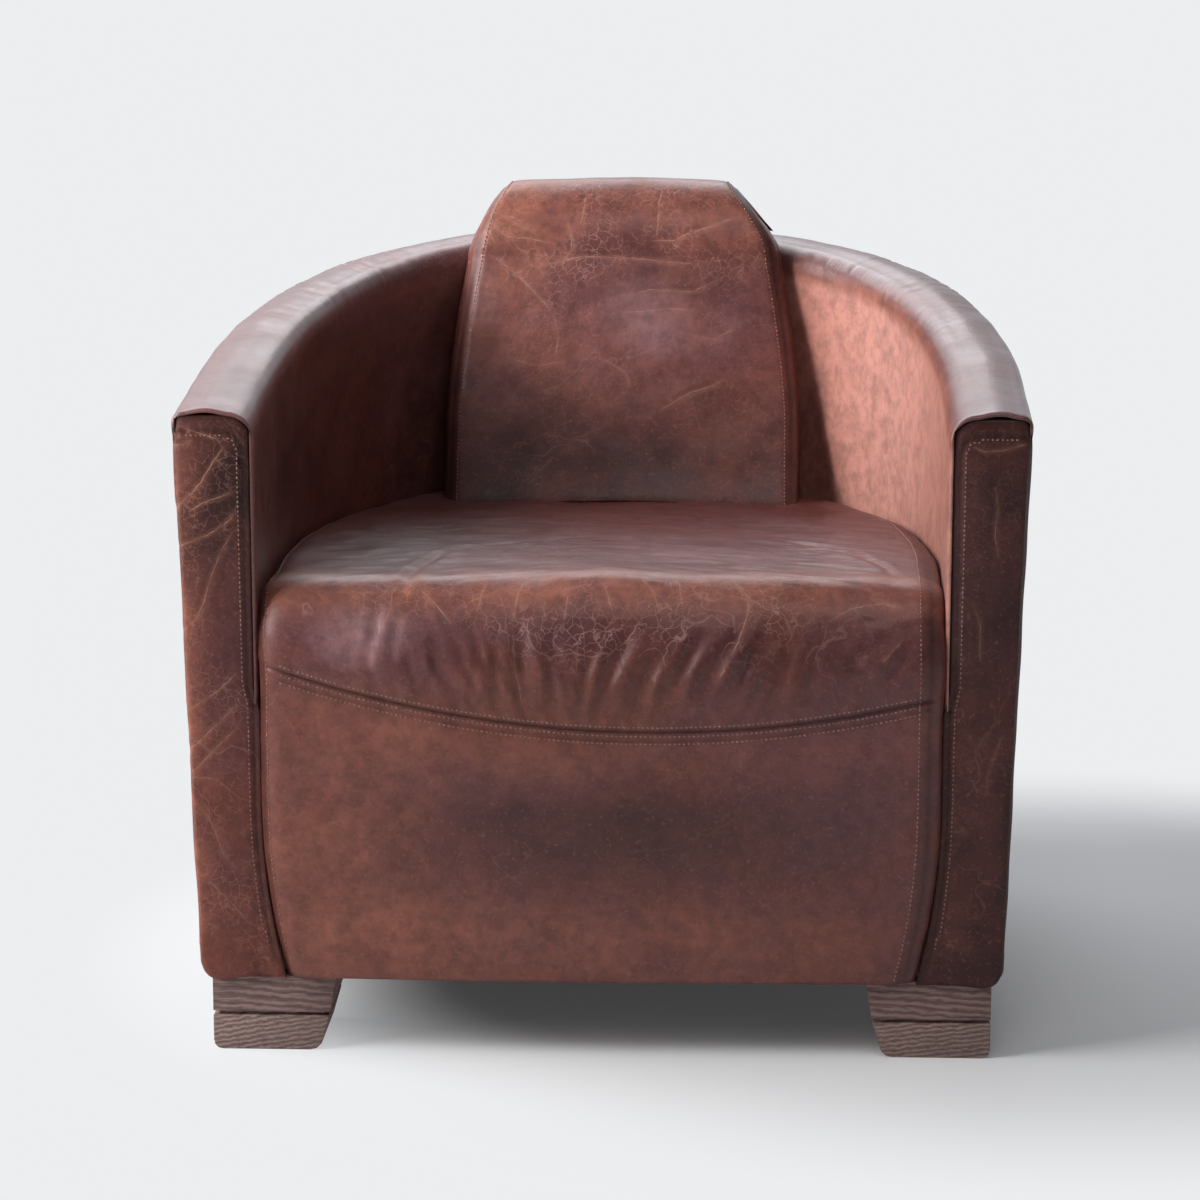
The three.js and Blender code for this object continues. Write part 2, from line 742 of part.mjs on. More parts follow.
// The arm's edge turns in towards the facing in a quarter circle, in plan twice as long as it is deep.
const lipStations = [2 * frontLip, frontLip, 0.3 * frontLip, 0].map((back) => {
  const share = 1 - back / (2 * frontLip);
  return [stationAtY(tubFrontY + back), frontLip * (1 - Math.sqrt(1 - share ** 2))];
});
for (const [name, side] of [["left", -1], ["right", 1]]) {
  const behind = stationsBetween(coverBackStation, lipStations[0][0]).slice(0, -1);
  const rings = [...behind.map((station) => [station, 0]), ...lipStations]
    .map(([station, lip]) => armCoverRing(side * station, lip));
  addPiece(`arm_cover_${name}`, loft(rings), hide);
}

// Outside covers: the hide runs from a seam at the middle of the back, round the side and across the
// arm's facing without a seam at the corner, and wraps under the rails.
const coverTopDrop = topOuterRadius + coverSeamDrop + seatGap;
const wrapFrontY = tubFrontY + underWrap;

function outsideLine(station, inset, lift, wrap) {
  const corner = underRadius - lift;
  const low = undersideZ + lift;
  const top = rimHeight(station) - coverTopDrop;
  const arc = quarterTurn(3).reverse();
  const besideSeat = innerPaddingFootZ - seatGap;
  return [
    ...[top, besideSeat, besideSeat - frontLip, innerBellyZ].map((z) => outerPoint(station, z, inset)),
    ...arc.map(([out, up]) => outerPoint(station, low + corner * (1 - up), inset + corner * (1 - out))),
    outerPoint(station, low, inset + corner + wrap),
  ];
}

// The facing's top edge lies just below the lip of the arm cover.
function facingTopZ(acrossX) {
  const lip = frontLip + leather + seatGap;
  const outerX = outerPoint(1, rimFrontZ, 0).x;
  const innerX = innerPoint(1, rimFrontZ, 0).x;
  const corners = [[outerX - topOuterRadius, topOuterRadius], [innerX + topInnerRadius, topInnerRadius]];
  for (const [centre, radius] of corners) {
    const beyond = centre > (outerX + innerX) / 2 ? acrossX - centre : centre - acrossX;
    if (beyond > radius - lip) {
      return rimFrontZ - coverTopDrop - frontLip / 2;
    }
    if (beyond > 0) {
      return rimFrontZ - radius + Math.sqrt((radius - lip) ** 2 - beyond ** 2);
    }
  }
  return rimFrontZ - lip;
}

function facingInnerX(z) {
  const besideCover = z > innerPaddingFootZ - frontLip;
  return innerPoint(1, z, besideCover ? frontLip + leather + seatGap : leather).x;
}

function outsideCoverRings() {
  const rings = stationsBetween(coverBackStation, stationAtY(wrapFrontY + underWrap)).map((station) =>
    [0, leather].map((lift) => outsideLine(station, lift, lift, underWrap)));
  for (const y of [wrapFrontY, tubFrontY + facingCorner]) {
    rings.push([0, leather].map((lift) => outsideLine(stationAtY(y), lift, lift, leather)));
  }
  for (const angle of [Math.PI / 4, Math.PI / 2]) {
    rings.push([0, leather].map((lift) => {
      const radius = facingCorner - lift;
      const y = tubFrontY + facingCorner - radius * Math.sin(angle);
      const line = outsideLine(1, facingCorner - radius * Math.cos(angle), lift, 0);
      line[line.length - 1] = line.at(-2).clone().add(point(0, leather, 0));
      return line.map((p, i) => point(p.x, y + (i === line.length - 1 ? leather : 0), p.z));
    }));
  }
  const [outerX, innerX] = [rings.at(-1)[0][0].x, facingInnerX(rimFrontZ)];
  const stops = [
    outerX, outerX - facingStep, outerX + facingCorner - topOuterRadius, (outerX + innerX) / 2,
    innerX + 12 * facingStep, innerX + 6 * facingStep, innerX + 2 * facingStep, innerX,
  ];
  const cornerRing = rings.pop();
  for (const stop of stops) {
    const share = (outerX - stop) / (outerX - innerX);
    rings.push(cornerRing.map((line) => line.map((p, i) =>
      point(lerp(p.x, facingInnerX(p.z), share), p.y, i ? p.z : facingTopZ(stop)))));
  }
  return rings.map(([outside, inside]) => [...outside, ...inside.reverse()]);
}

for (const [name, side] of [["left", -1], ["right", 1]]) {
  const rings = outsideCoverRings().map((ring) => mirrored(ring, side));
  addPiece(`outside_cover_${name}`, loft(rings), hide);
}

// Seat: a foam block bent over the front rails. Its side outline follows the arms' barrel, and its
// long edges are rounded from the side of the roll to the foot of the apron.
const seatFootZ = feltZ + insulator + seatGap;
const apronBackY = frameFrontY - seatGap;
const seatLowZ = undersideZ;

function seatHalfWidth(y, z) {
  const inside = spaceHalfWidthAt(Math.max(y, tubFrontY), -sideClearance);
  return inside - bellyAt(z);
}

// The seat's middle line, from the back of its top, over the roll and down the apron. Each point has
// its place, the way in, and the room that the arms leave it.
function seatLine(inset, stops) {
  return stops.map((stop) => {
    const [y, z, inY, inZ] = seatSurface(stop);
    return { y: y + inY * inset, z: z + inZ * inset, inY, inZ, half: seatHalfWidth(y, z) - inset };
  });
}

// Stops from 0 to 1 run along the top, from 1 to 2 round the roll, and from 2 to 3 down the apron.
function seatSurface(stop) {
  const rollY = seatFrontY + rollDepth;
  if (stop <= 1) {
    const y = lerp(seatBackY, rollY, stop);
    const fall = Math.min(1, (y - rollY) / (seatDeckY - rollY));
    return [y, seatTopZ - seatRearDrop * fall ** 2, 0, -1];
  }
  if (stop <= 2) {
    const angle = (stop - 1) * (Math.PI / 2);
    const [out, up] = [Math.sin(angle), Math.cos(angle)];
    return [rollY - rollDepth * out, seatTopZ - rollDrop * (1 - up), out, -up];
  }
  const down = stop - 2;
  return [seatFrontY + apronTuck * down ** tuckPower, lerp(seatTopZ - rollDrop, seatLowZ, down), 1, 0];
}

// Places across the seat or the pad: shares of the half width less its rounded edge, then the edge's
// quarter turn. Each gives its distance from the middle and its depth.
function acrossPlaces(half, [width, fall], crown, shares) {
  const flat = shares.map((share) => [share * (half - width), crown * share ** 2]);
  const turn = quarterTurn(3).slice(1)
    .map(([out, up]) => [half - width + width * out, crown + fall * (1 - up)]);
  return [...flat, ...turn];
}

function bothSides(places) {
  return [...places.slice(1).reverse().map(([x, depth]) => [-x, depth]), ...places];
}

const seatShares = [0, 0.5, 0.8, 1];
const topStops = [0, 0.05, 0.12, 0.2, 0.3, 0.5, 0.75, 1, 1.25, 1.5, 1.75, 2];
const apronStops = [2.2, 2.45, 2.7, 2.85];

function crossRings(line, edge, crown, closing) {
  const count = bothSides(acrossPlaces(1, edge, crown, seatShares)).length;
  return Array.from({ length: count }, (_, k) => {
    const ring = line.map((at) => acrossPoint(at, edge, crown, k));
    return [...ring, ...closing(ring)];
  });
}

function acrossPoint({ y, z, inY, inZ, half }, edge, crown, k) {
  const [x, depth] = bothSides(acrossPlaces(half, edge, crown, seatShares))[k];
  return point(x, y + inY * depth, z + inZ * depth);
}

const under = leather + foamGap;
const seatEdge = (inset) => [seatEdgeWidth - inset, seatEdgeDepth - inset];
const footStop = stopAtZ(undersideZ + leather + seatGap);
const seatCore = seatLine(under, [...topStops, ...apronStops, footStop]);
const seatFoamRings = crossRings(seatCore, seatEdge(under), seatCrown, (ring) => {
  const [top, shoulder, foot] = [ring[0], ring[topStops.length - 1], ring.at(-1)];
  return [
    point(foot.x, apronBackY, foot.z),
    point(shoulder.x, apronBackY, seatFootZ),
    point(top.x, top.y, seatFootZ),
  ];
});
addPiece("seat_foam", loft(seatFoamRings), foam);

// The stop at which the seat's front passes a height.
function stopAtZ(z) {
  const rollFootZ = seatTopZ - rollDrop;
  if (z < rollFootZ) {
    return 2 + (rollFootZ - z) / (rollFootZ - seatLowZ);
  }
  return 1 + Math.acos(1 - (seatTopZ - z) / rollDrop) / (Math.PI / 2);
}

// The seat's top hide and the apron meet in a double sewn seam that sags in the middle.
function seamStop(x) {
  const reach = seatSpaceHalfWidth - seatEdgeWidth;
  return stopAtZ(seamLowZ + seamRise * (x / reach) ** 2);
}

const middlePlace = seatShares.length + 2;
const seamPlace = seatShares.length;
const sewnPlaces = Array.from({ length: 2 * seamPlace + 1 }, (_, i) => middlePlace - seamPlace + i);

function seatSkin(k, inset, stops) {
  const edge = seatEdge(inset);
  return seatLine(inset, stops).map((at) => acrossPoint(at, edge, seatCrown, k));
}

function placeX(k) {
  return acrossPoint(seatLine(0, [2])[0], seatEdge(0), seatCrown, k).x;
}

const topRings = sewnPlaces.map((k) => {
  const seam = seamStop(placeX(k)) - seamGap;
  const stops = [...topStops.slice(0, -1), lerp(topStops.at(-2), seam, 0.55), seam];
  return [...seatSkin(k, 0, stops), ...seatSkin(k, leather, stops).reverse()];
});
addPiece("seat_top_cover", loft(topRings), hide);

const apronRings = sewnPlaces.map((k) => {
  const seam = seamStop(placeX(k));
  const stops = [seam, lerp(seam, 3, 0.3), lerp(seam, 3, 0.6), lerp(seam, 3, 0.85)];
  const wrapY = seatFrontY + apronTuck + underWrap;
  const outside = seatSkin(k, 0, [...stops, 3]);
  const inside = seatSkin(k, leather, [...stops, stopAtZ(undersideZ + leather)]);
  const [low, high] = [outside.at(-1), inside.at(-1)];
  return [...outside, point(low.x, wrapY, low.z), point(high.x, wrapY, high.z), ...inside.reverse()];
});
addPiece("front_apron_cover", loft(apronRings), hide);

// A gusset each side turns from the top and front hides down the seat's side, where it is stapled.
const gussetStops = [...topStops, ...apronStops, footStop];
function gussetRing(stop, side) {
  const skinAt = (inset) => {
    const [at] = seatLine(inset, [stop]);
    const places = [seamPlace, seamPlace + 1, seamPlace + 2]
      .map((place) => acrossPoint(at, seatEdge(inset), seatCrown, middlePlace + place));
    places[0] = places[0].clone().lerp(places[1], gussetGap);
    const depth = stop >= 2 ? apronBackY - seatGap - at.y : seatCrown + gussetDepth;
    return [...places, point(at.half, at.y + at.inY * depth, at.z + at.inZ * depth)];
  };
  return mirrored([...skinAt(0), ...skinAt(leather).reverse()], side);
}
for (const [name, side] of [["left", -1], ["right", 1]]) {
  addPiece(`seat_gusset_${name}`, loft(gussetStops.map((stop) => gussetRing(stop, side))), hide);
}

// Back pad: it stands on the back of the seat, leans on the tub's inside, narrows upwards and rolls
// over the rim. Stops 1 to 2 are the face and 2 to 4 the roll.
const padFootZ = seatTopZ - seatRearDrop + padSeatClearance;

function padSurface(stop) {
  if (stop <= 2) {
    const up = stop - 1;
    return [padFrontY + padLean * up ** padLeanPower, lerp(padFootZ, padRollZ, up)];
  }
  const angle = (stop - 2) * (Math.PI / 2);
  const reach = stop <= 3 ? padCrestY - padFrontY - padLean : padRearY - padCrestY;
  const footZ = stop <= 3 ? padRollZ : rimBackZ + padRimClearance;
  return [padCrestY - reach * Math.cos(angle), footZ + (padTopZ - footZ) * Math.sin(angle)];
}

function padHalfWidth(z) {
  if (z > padNeckZ) {
    const toCrest = (z - padNeckZ) / (padTopZ - padNeckZ);
    return lerp(padNeckHalfWidth, padCrestHalfWidth, toCrest ** padCrestPower);
  }
  const toNeck = Math.max(0, z - padWaistZ) / (padNeckZ - padWaistZ);
  return lerp(padBaseHalfWidth, padNeckHalfWidth, toNeck ** padNeckPower);
}

function padLine(inset, stops) {
  return stops.map((stop) => {
    const [y, z] = padSurface(stop);
    const [y0, z0] = padSurface(Math.max(1.02, stop - 0.02));
    const [y1, z1] = padSurface(Math.min(4, stop + 0.02));
    const length = Math.hypot(y1 - y0, z1 - z0);
    const [inY, inZ] = stop <= 1 ? [1, 0] : [(z1 - z0) / length, (y0 - y1) / length];
    return { y: y + inY * inset, z: z + inZ * inset, inY, inZ, half: padHalfWidth(z) - inset };
  });
}

const padEdge = (inset) => [padEdgeWidth - inset, padEdgeDepth - inset];
const padStops = [1, 1.15, 1.35, 1.6, 1.8, 2, 2.25, 2.5, 2.75, 3, 3.3, 3.6, 3.85];

function againstTub(x, z) {
  return point(x, spaceDepthAt(Math.abs(x), -sideClearance), z);
}

// Behind its crest the pad follows the round of the tub's back.
function roundedBack(p) {
  const share = Math.max(0, p.y - padCrestY) / (padRearY - padCrestY);
  return point(p.x, p.y - share * (tubBackY - backDepthAt(Math.abs(p.x))), p.z);
}

function backDepthAt(x) {
  const line = stationsBetween(0, 1).map((station) => outerPoint(station, rimHeight(station), 0));
  const i = line.findIndex((p, at) => at > 0 && x <= p.x);
  return lerp(line[i - 1].y, line[i].y, (x - line[i - 1].x) / (line[i].x - line[i - 1].x));
}

// Where the pad lies on the tub at a stop: up the wall, round the rim's inner corner, along its top.
const padRimZ = rimBackZ + padRimClearance;
const padCornerZ = padRimZ - topInnerRadius - 2 * padRimClearance;
const [cornerStop, rimStop] = [2.25, 2.5];

function padRoot(stop, share, inset) {
  const onTub = (z, behind) => againstTub(share * (padHalfWidth(z) - inset), z).add(point(0, behind, 0));
  if (stop < cornerStop) {
    return onTub(Math.min(padSurface(stop)[1], padCornerZ), 0);
  }
  if (stop < rimStop) {
    return onTub(padRimZ - 2 * padRimClearance, topInnerRadius / 6);
  }
  const root = onTub(padRimZ, topInnerRadius);
  const alongRim = (stop - rimStop) / (padStops.at(-1) - rimStop);
  return root.setY(lerp(root.y, padSurface(padStops.at(-1))[0], alongRim));
}

// The foam stands back from the side panels, which lie flatter than its own round.
const padCore = padLine(under, padStops).map((at) => ({ ...at, half: at.half - padSideGap }));
const padRings = crossRings(padCore, padEdge(under), padCrown, (ring) => {
  const coreInset = under + padSideGap;
  const share = ring[0].x / (padBaseHalfWidth - coreInset);
  const backStops = [padStops.at(-1), rimStop, cornerStop, 2, 1.6, 1.35, 1];
  return backStops.map((stop) => padRoot(stop, share, coreInset));
}).map((ring) => ring.map(roundedBack));

addPiece("back_pad_foam", loft(padRings), foam);

function padSkin(k, inset) {
  const edge = padEdge(inset);
  return padLine(inset, padStops).map((at) => roundedBack(acrossPoint(at, edge, padCrown, k)));
}
const padFaceRings = sewnPlaces.map((k) => [...padSkin(k, 0), ...padSkin(k, leather).reverse()]);
addPiece("back_pad_cover", loft(padFaceRings), hide);

// A gusset each side turns from the pad's face back to the tub's wall, and over the rim.
function padSideLine(stop, inset) {
  const [at] = padLine(inset, [stop]);
  const places = [seamPlace, seamPlace + 1, seamPlace + 2]
    .map((place) => acrossPoint(at, padEdge(inset), padCrown, middlePlace + place));
  places[0] = places[0].clone().lerp(places[1], gussetGap);
  return [...places, padRoot(stop, 1, inset)].map(roundedBack);
}

for (const [name, side] of [["left", -1], ["right", 1]]) {
  const rings = padStops.map((stop) =>
    mirrored([...padSideLine(stop, 0), ...padSideLine(stop, leather).reverse()], side));
  addPiece(`back_pad_gusset_${name}`, loft(rings), hide);
}

export default chair;
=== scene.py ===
import math

import bmesh
import bpy
import numpy as np
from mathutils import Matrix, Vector, noise


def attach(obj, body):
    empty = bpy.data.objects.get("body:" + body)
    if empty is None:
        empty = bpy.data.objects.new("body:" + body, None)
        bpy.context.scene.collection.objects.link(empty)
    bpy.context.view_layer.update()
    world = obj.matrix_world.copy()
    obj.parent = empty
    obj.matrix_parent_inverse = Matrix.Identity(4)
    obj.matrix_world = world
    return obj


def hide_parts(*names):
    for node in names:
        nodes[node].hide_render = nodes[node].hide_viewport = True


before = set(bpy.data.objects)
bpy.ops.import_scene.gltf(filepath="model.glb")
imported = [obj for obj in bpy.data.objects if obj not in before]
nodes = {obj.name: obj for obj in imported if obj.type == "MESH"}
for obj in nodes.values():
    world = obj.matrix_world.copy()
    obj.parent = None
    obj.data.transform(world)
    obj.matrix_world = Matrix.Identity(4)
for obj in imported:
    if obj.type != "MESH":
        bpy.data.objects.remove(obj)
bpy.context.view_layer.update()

# Frame: beech rails sawn to the tub's plan, posts and glued corner blocks, hidden by the upholstery.
# The wood is bare, pale and sawn, with its grain along each rail.


def paint(red, green, blue):
    """A colour written as a screen shows it, turned into the linear one that a shader takes."""
    def linear(value):
        share = value / 255
        return share / 12.92 if share <= 0.04045 else ((share + 0.055) / 1.055) ** 2.4
    return (linear(red), linear(green), linear(blue), 1.0)


def add_node(tree, kind, inputs=(), **settings):
    made = tree.nodes.new(kind)
    for name, value in settings.items():
        setattr(made, name, value)
    for name, value in dict(inputs).items():
        if isinstance(value, bpy.types.NodeSocket):
            tree.links.new(value, made.inputs[name])
        else:
            made.inputs[name].default_value = value
    return made


def reckon(tree, operation, first, second=0.5, third=None, clamp=False):
    values = {0: first, 1: second} if third is None else {0: first, 1: second, 2: third}
    return add_node(tree, "ShaderNodeMath", values, operation=operation, use_clamp=clamp).outputs[0]


def between(tree, value, low, high, to_low=0.0, to_high=1.0):
    made = add_node(tree, "ShaderNodeMapRange", interpolation_type="SMOOTHSTEP")
    for name, number in {"From Min": low, "From Max": high, "To Min": to_low, "To Max": to_high}.items():
        made.inputs[name].default_value = number
    tree.links.new(value, made.inputs["Value"])
    return made.outputs["Result"]


def blend_colours(tree, share, first, second):
    made = add_node(tree, "ShaderNodeMix", data_type="RGBA", blend_type="MIX")
    for place, value in ((0, share), (6, first), (7, second)):
        if isinstance(value, bpy.types.NodeSocket):
            tree.links.new(value, made.inputs[place])
        else:
            made.inputs[place].default_value = value
    return made.outputs[2]


def new_group(name, kind, inputs, outputs):
    tree = bpy.data.node_groups.new(name, kind)
    for label, socket, value in inputs:
        made = tree.interface.new_socket(label, in_out="INPUT", socket_type=socket)
        if value is not None:
            made.default_value = value
    for label, socket in outputs:
        tree.interface.new_socket(label, in_out="OUTPUT", socket_type=socket)
    return tree, tree.nodes.new("NodeGroupInput").outputs, tree.nodes.new("NodeGroupOutput").inputs


def noise_value(tree, vector, scale, detail=3.0, roughness=0.5, distortion=0.0):
    made = add_node(tree, "ShaderNodeTexNoise", {"Scale": scale, "Detail": detail, "Roughness": roughness})
    made.inputs["Distortion"].default_value = distortion
    tree.links.new(vector, made.inputs["Vector"])
    return made.outputs["Fac"]


wood_grain, grain_in, grain_out = new_group(
    "wood_grain", "ShaderNodeTree",
    [("Vector", "NodeSocketVector", None), ("Rings", "NodeSocketFloat", 60.0),
     ("Wander", "NodeSocketFloat", 4.0)],
    [("Grain", "NodeSocketFloat"), ("Pores", "NodeSocketFloat")],
)
rings = add_node(wood_grain, "ShaderNodeTexWave", {
    "Vector": grain_in["Vector"], "Scale": grain_in["Rings"], "Distortion": grain_in["Wander"],
    "Detail": 3.0, "Detail Scale": 1.5, "Detail Roughness": 0.6}, wave_type="RINGS", rings_direction="X")
wood_grain.links.new(rings.outputs["Fac"], grain_out["Grain"])
fibres = add_node(wood_grain, "ShaderNodeMapping", {
    "Vector": grain_in["Vector"], "Scale": (60.0, 900.0, 900.0)})
wood_grain.links.new(
    between(wood_grain, noise_value(wood_grain, fibres.outputs[0], 1.0, 2.0), 0.5, 0.7), grain_out["Pores"])


def wood(name, pale, dark, place, stretch, turned, rings_across, roughness):
    made = bpy.data.materials.new(name)
    made.use_nodes = True
    tree = made.node_tree
    shader = tree.nodes["Principled BSDF"]
    where = add_node(tree, "ShaderNodeTexCoord").outputs["Object"]
    turned_to = add_node(tree, "ShaderNodeMapping", {
        "Vector": where, "Location": place, "Rotation": turned, "Scale": stretch})
    grain = add_node(tree, "ShaderNodeGroup", node_tree=wood_grain)
    tree.links.new(turned_to.outputs[0], grain.inputs["Vector"])
    grain.inputs["Rings"].default_value = rings_across
    stain = noise_value(tree, where, 14.0, 4.0)
    colour = blend_colours(tree, grain.outputs["Grain"], pale, dark)
    colour = blend_colours(tree, between(tree, stain, 0.4, 0.75, 0.0, 0.5), colour, dark)
    colour = blend_colours(tree, reckon(tree, "MULTIPLY", grain.outputs["Pores"], 0.6), colour, tuple(
        [value * 0.45 for value in dark[:3]] + [1.0]))
    tree.links.new(colour, shader.inputs["Base Color"])
    shader.inputs["Roughness"].default_value = roughness
    bump = add_node(tree, "ShaderNodeBump", {"Strength": 0.5, "Distance": 0.0006, "Height": reckon(
        tree, "SUBTRACT", reckon(tree, "MULTIPLY", grain.outputs["Grain"], 0.4), grain.outputs["Pores"])})
    tree.links.new(bump.outputs["Normal"], shader.inputs["Normal"])
    return made


def finish_nodes(finish, *starts):
    for name in nodes:
        if name.startswith(starts):
            nodes[name].data.materials.clear()
            nodes[name].data.materials.append(finish)


beech = wood("sawn_beech", paint(206, 170, 126), paint(176, 134, 92), (0.2, 0.1, 0.4), (0.3, 1.0, 1.0),
             (0.0, 0.0, 0.0), 18.0, 0.72)
finish_nodes(beech, "arm_front_post", "arm_middle_post", "back_post", "back_seat_rail", "front_seat_rail",
             "front_bottom_rail", "base_rail", "top_rail", "corner_block")

# Springs and bolts: zigzag springs of drawn steel wire lie in clips, and a plated bolt holds each foot.
# A little dull oil film lies on the wire.
steel = bpy.data.materials.new("drawn_steel")
steel.use_nodes = True
steel_tree = steel.node_tree
steel_shader = steel_tree.nodes["Principled BSDF"]
steel_place = add_node(steel_tree, "ShaderNodeTexCoord").outputs["Object"]
film = noise_value(steel_tree, steel_place, 120.0, 4.0)
steel_tree.links.new(blend_colours(
    steel_tree, film, paint(168, 171, 174), paint(120, 118, 112)), steel_shader.inputs["Base Color"])
steel_tree.links.new(between(steel_tree, film, 0.3, 0.7, 0.28, 0.5), steel_shader.inputs["Roughness"])
steel_shader.inputs["Metallic"].default_value = 1.0
finish_nodes(steel, "seat_spring", "foot_bolt")

# Boards and felt: hard fibreboard closes the outside of the frame, and a needled felt pad lies on the
# springs. Both are rough, speckled and dry.


def speckled(name, ground, fleck, scale, roughness, relief):
    made = bpy.data.materials.new(name)
    made.use_nodes = True
    tree = made.node_tree
    shader = tree.nodes["Principled BSDF"]
    where = add_node(tree, "ShaderNodeTexCoord").outputs["Object"]
    flecks = noise_value(tree, where, scale, 5.0, 0.7)
    colour = blend_colours(tree, between(tree, flecks, 0.4, 0.65), ground, fleck)
    tree.links.new(colour, shader.inputs["Base Color"])
    shader.inputs["Roughness"].default_value = roughness
    bump = add_node(tree, "ShaderNodeBump", {"Strength": 0.4, "Distance": relief, "Height": flecks})
    tree.links.new(bump.outputs["Normal"], shader.inputs["Normal"])
    return made


fibreboard = speckled("fibreboard", paint(146, 116, 84), paint(104, 80, 56), 420.0, 0.85, 0.0004)
finish_nodes(fibreboard, "outside_board")
needled_felt = speckled("needled_felt", paint(132, 126, 118), paint(86, 84, 82), 260.0, 1.0, 0.0015)
finish_nodes(needled_felt, "spring_felt")

# Feet: two layers of dark weathered oak under each corner, with a shadow groove between them.
# The arrises are eased, and the grain runs across in arcs above and in slanting lines below.


def eased_block(name, node, finish, ease):
    """A foot's block as the frame has it, its doubles joined and its sharp edges eased."""
    shape = bmesh.new()
    shape.from_mesh(nodes[node].data)
    bmesh.ops.remove_doubles(shape, verts=shape.verts, dist=1e-6)
    bmesh.ops.dissolve_limit(shape, angle_limit=0.01, verts=shape.verts, edges=shape.edges)
    data = bpy.data.meshes.new(name)
    shape.to_mesh(data)
    shape.free()
    made = bpy.data.objects.new(name, data)
    bpy.context.scene.collection.objects.link(made)
    bevel = made.modifiers.new("eased", "BEVEL")
    bevel.width = ease
    bevel.segments = 3
    bevel.limit_method = "ANGLE"
    bevel.angle_limit = math.radians(35)
    data.materials.append(finish)
    for face in data.polygons:
        face.use_smooth = True
    made = as_plain_mesh(made)
    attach(made, "root")
    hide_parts(node)
    return made


def as_plain_mesh(made):
    """The piece with its modifiers worked into its mesh."""
    kept = bpy.data.meshes.new_from_object(made.evaluated_get(bpy.context.evaluated_depsgraph_get()))
    made.modifiers.clear()
    made.data = kept
    kept.name = made.name
    return made


oak_above = wood("oak_arcs", paint(146, 118, 112), paint(100, 76, 72), (0.0, 0.0, -0.16), (0.42, 0.5, 1.0),
                 (0.0, 0.0, 0.1), 95.0, 0.68)
oak_below = wood("oak_slants", paint(158, 132, 124), paint(108, 86, 80), (0.0, 0.1, 0.34), (0.9, 0.5, 1.0),
                 (0.0, 0.12, 0.2), 75.0, 0.68)
for corner in ("front_left", "front_right", "rear_left", "rear_right"):
    eased_block(f"upper_block_{corner}", f"foot_upper_{corner}", oak_above, 0.0009)
    eased_block(f"lower_block_{corner}", f"foot_lower_{corner}", oak_below, 0.0012)

# Inside of the tub: one hide each side goes over the arm's padded top and down its inside, from a
# seam at the middle of the back to the arm's front, where it turns over the edge of the facing.

MM = 0.001
# The tub's plan outside and the seat's space inside it, in millimetres.
TUB_HALF = 378.0
TUB_FRONT = -375.0
TUB_BACK = 390.0
SPACE_HALF = 306.0
SPACE_BACK = 312.0
WIDEST = -200.0
PINCH = 5.0
# The bend takes this share of the wall's length, on a curve of this power.
BEND_SHARE = 0.75
PLAN_POWER = 2.5
# The rim rises from the front to the back, and the hides end at the underside.
RIM_FRONT = 578.0
RIM_BACK = 680.0
RIM_POWER = 1.2
UNDERSIDE = 70.3


def plan_line(station, half, back):
    """The tub in plan: 0 at the middle of the back, 1 at the arm's front. It gives x and y."""
    forward = np.clip((station - BEND_SHARE) / (1 - BEND_SHARE), 0, 1)
    angle = (1 - np.clip(station / BEND_SHARE, 0, 1)) * (math.pi / 2)
    bend_x = half * np.clip(np.cos(angle), 0, 1) ** (2 / PLAN_POWER)
    bend_y = WIDEST + (back - WIDEST) * np.clip(np.sin(angle), 0, 1) ** (2 / PLAN_POWER)
    x = np.where(station > BEND_SHARE, half - PINCH * forward, bend_x)
    y = np.where(station > BEND_SHARE, WIDEST + (TUB_FRONT - WIDEST) * forward, bend_y)
    return x, y


def even_stations(spacing):
    """Stations that lie evenly along the wall."""
    fine = np.linspace(0, 1, 6000)
    x, y = plan_line(fine, (TUB_HALF + SPACE_HALF) / 2, (TUB_BACK + SPACE_BACK) / 2)
    run = np.concatenate([[0], np.cumsum(np.hypot(np.diff(x), np.diff(y)))])
    count = int(run[-1] / spacing) + 1
    wanted = np.linspace(0, run[-1], count)
    return np.interp(wanted, run, fine), wanted


def rim_height(station):
    _, y = plan_line(station, TUB_HALF, TUB_BACK)
    return RIM_FRONT + (RIM_BACK - RIM_FRONT) * ((y - TUB_FRONT) / (TUB_BACK - TUB_FRONT)) ** RIM_POWER


def facing_out(grid, outward):
    """Normals of a grid of points, on the side that a rough outward direction gives."""
    along = np.gradient(grid, axis=0)
    across = np.gradient(grid, axis=1)
    normal = np.cross(along, across)
    length = np.linalg.norm(normal, axis=2, keepdims=True)
    normal = normal / np.maximum(length, 1e-9)
    middle = normal[grid.shape[0] // 2, grid.shape[1] // 2]
    return normal * np.sign(np.dot(middle, outward))


def rumple(grid, size, seed, octaves=3):
    """A soft random height for each point, from about -1 to 1, with folds of a size in millimetres."""
    flat = (grid / size).reshape(-1, 3)
    values = [noise.fractal(Vector((p[0] + seed, p[1], p[2])), 0.6, 2.0, octaves) for p in flat]
    return np.array(values).reshape(grid.shape[:2])


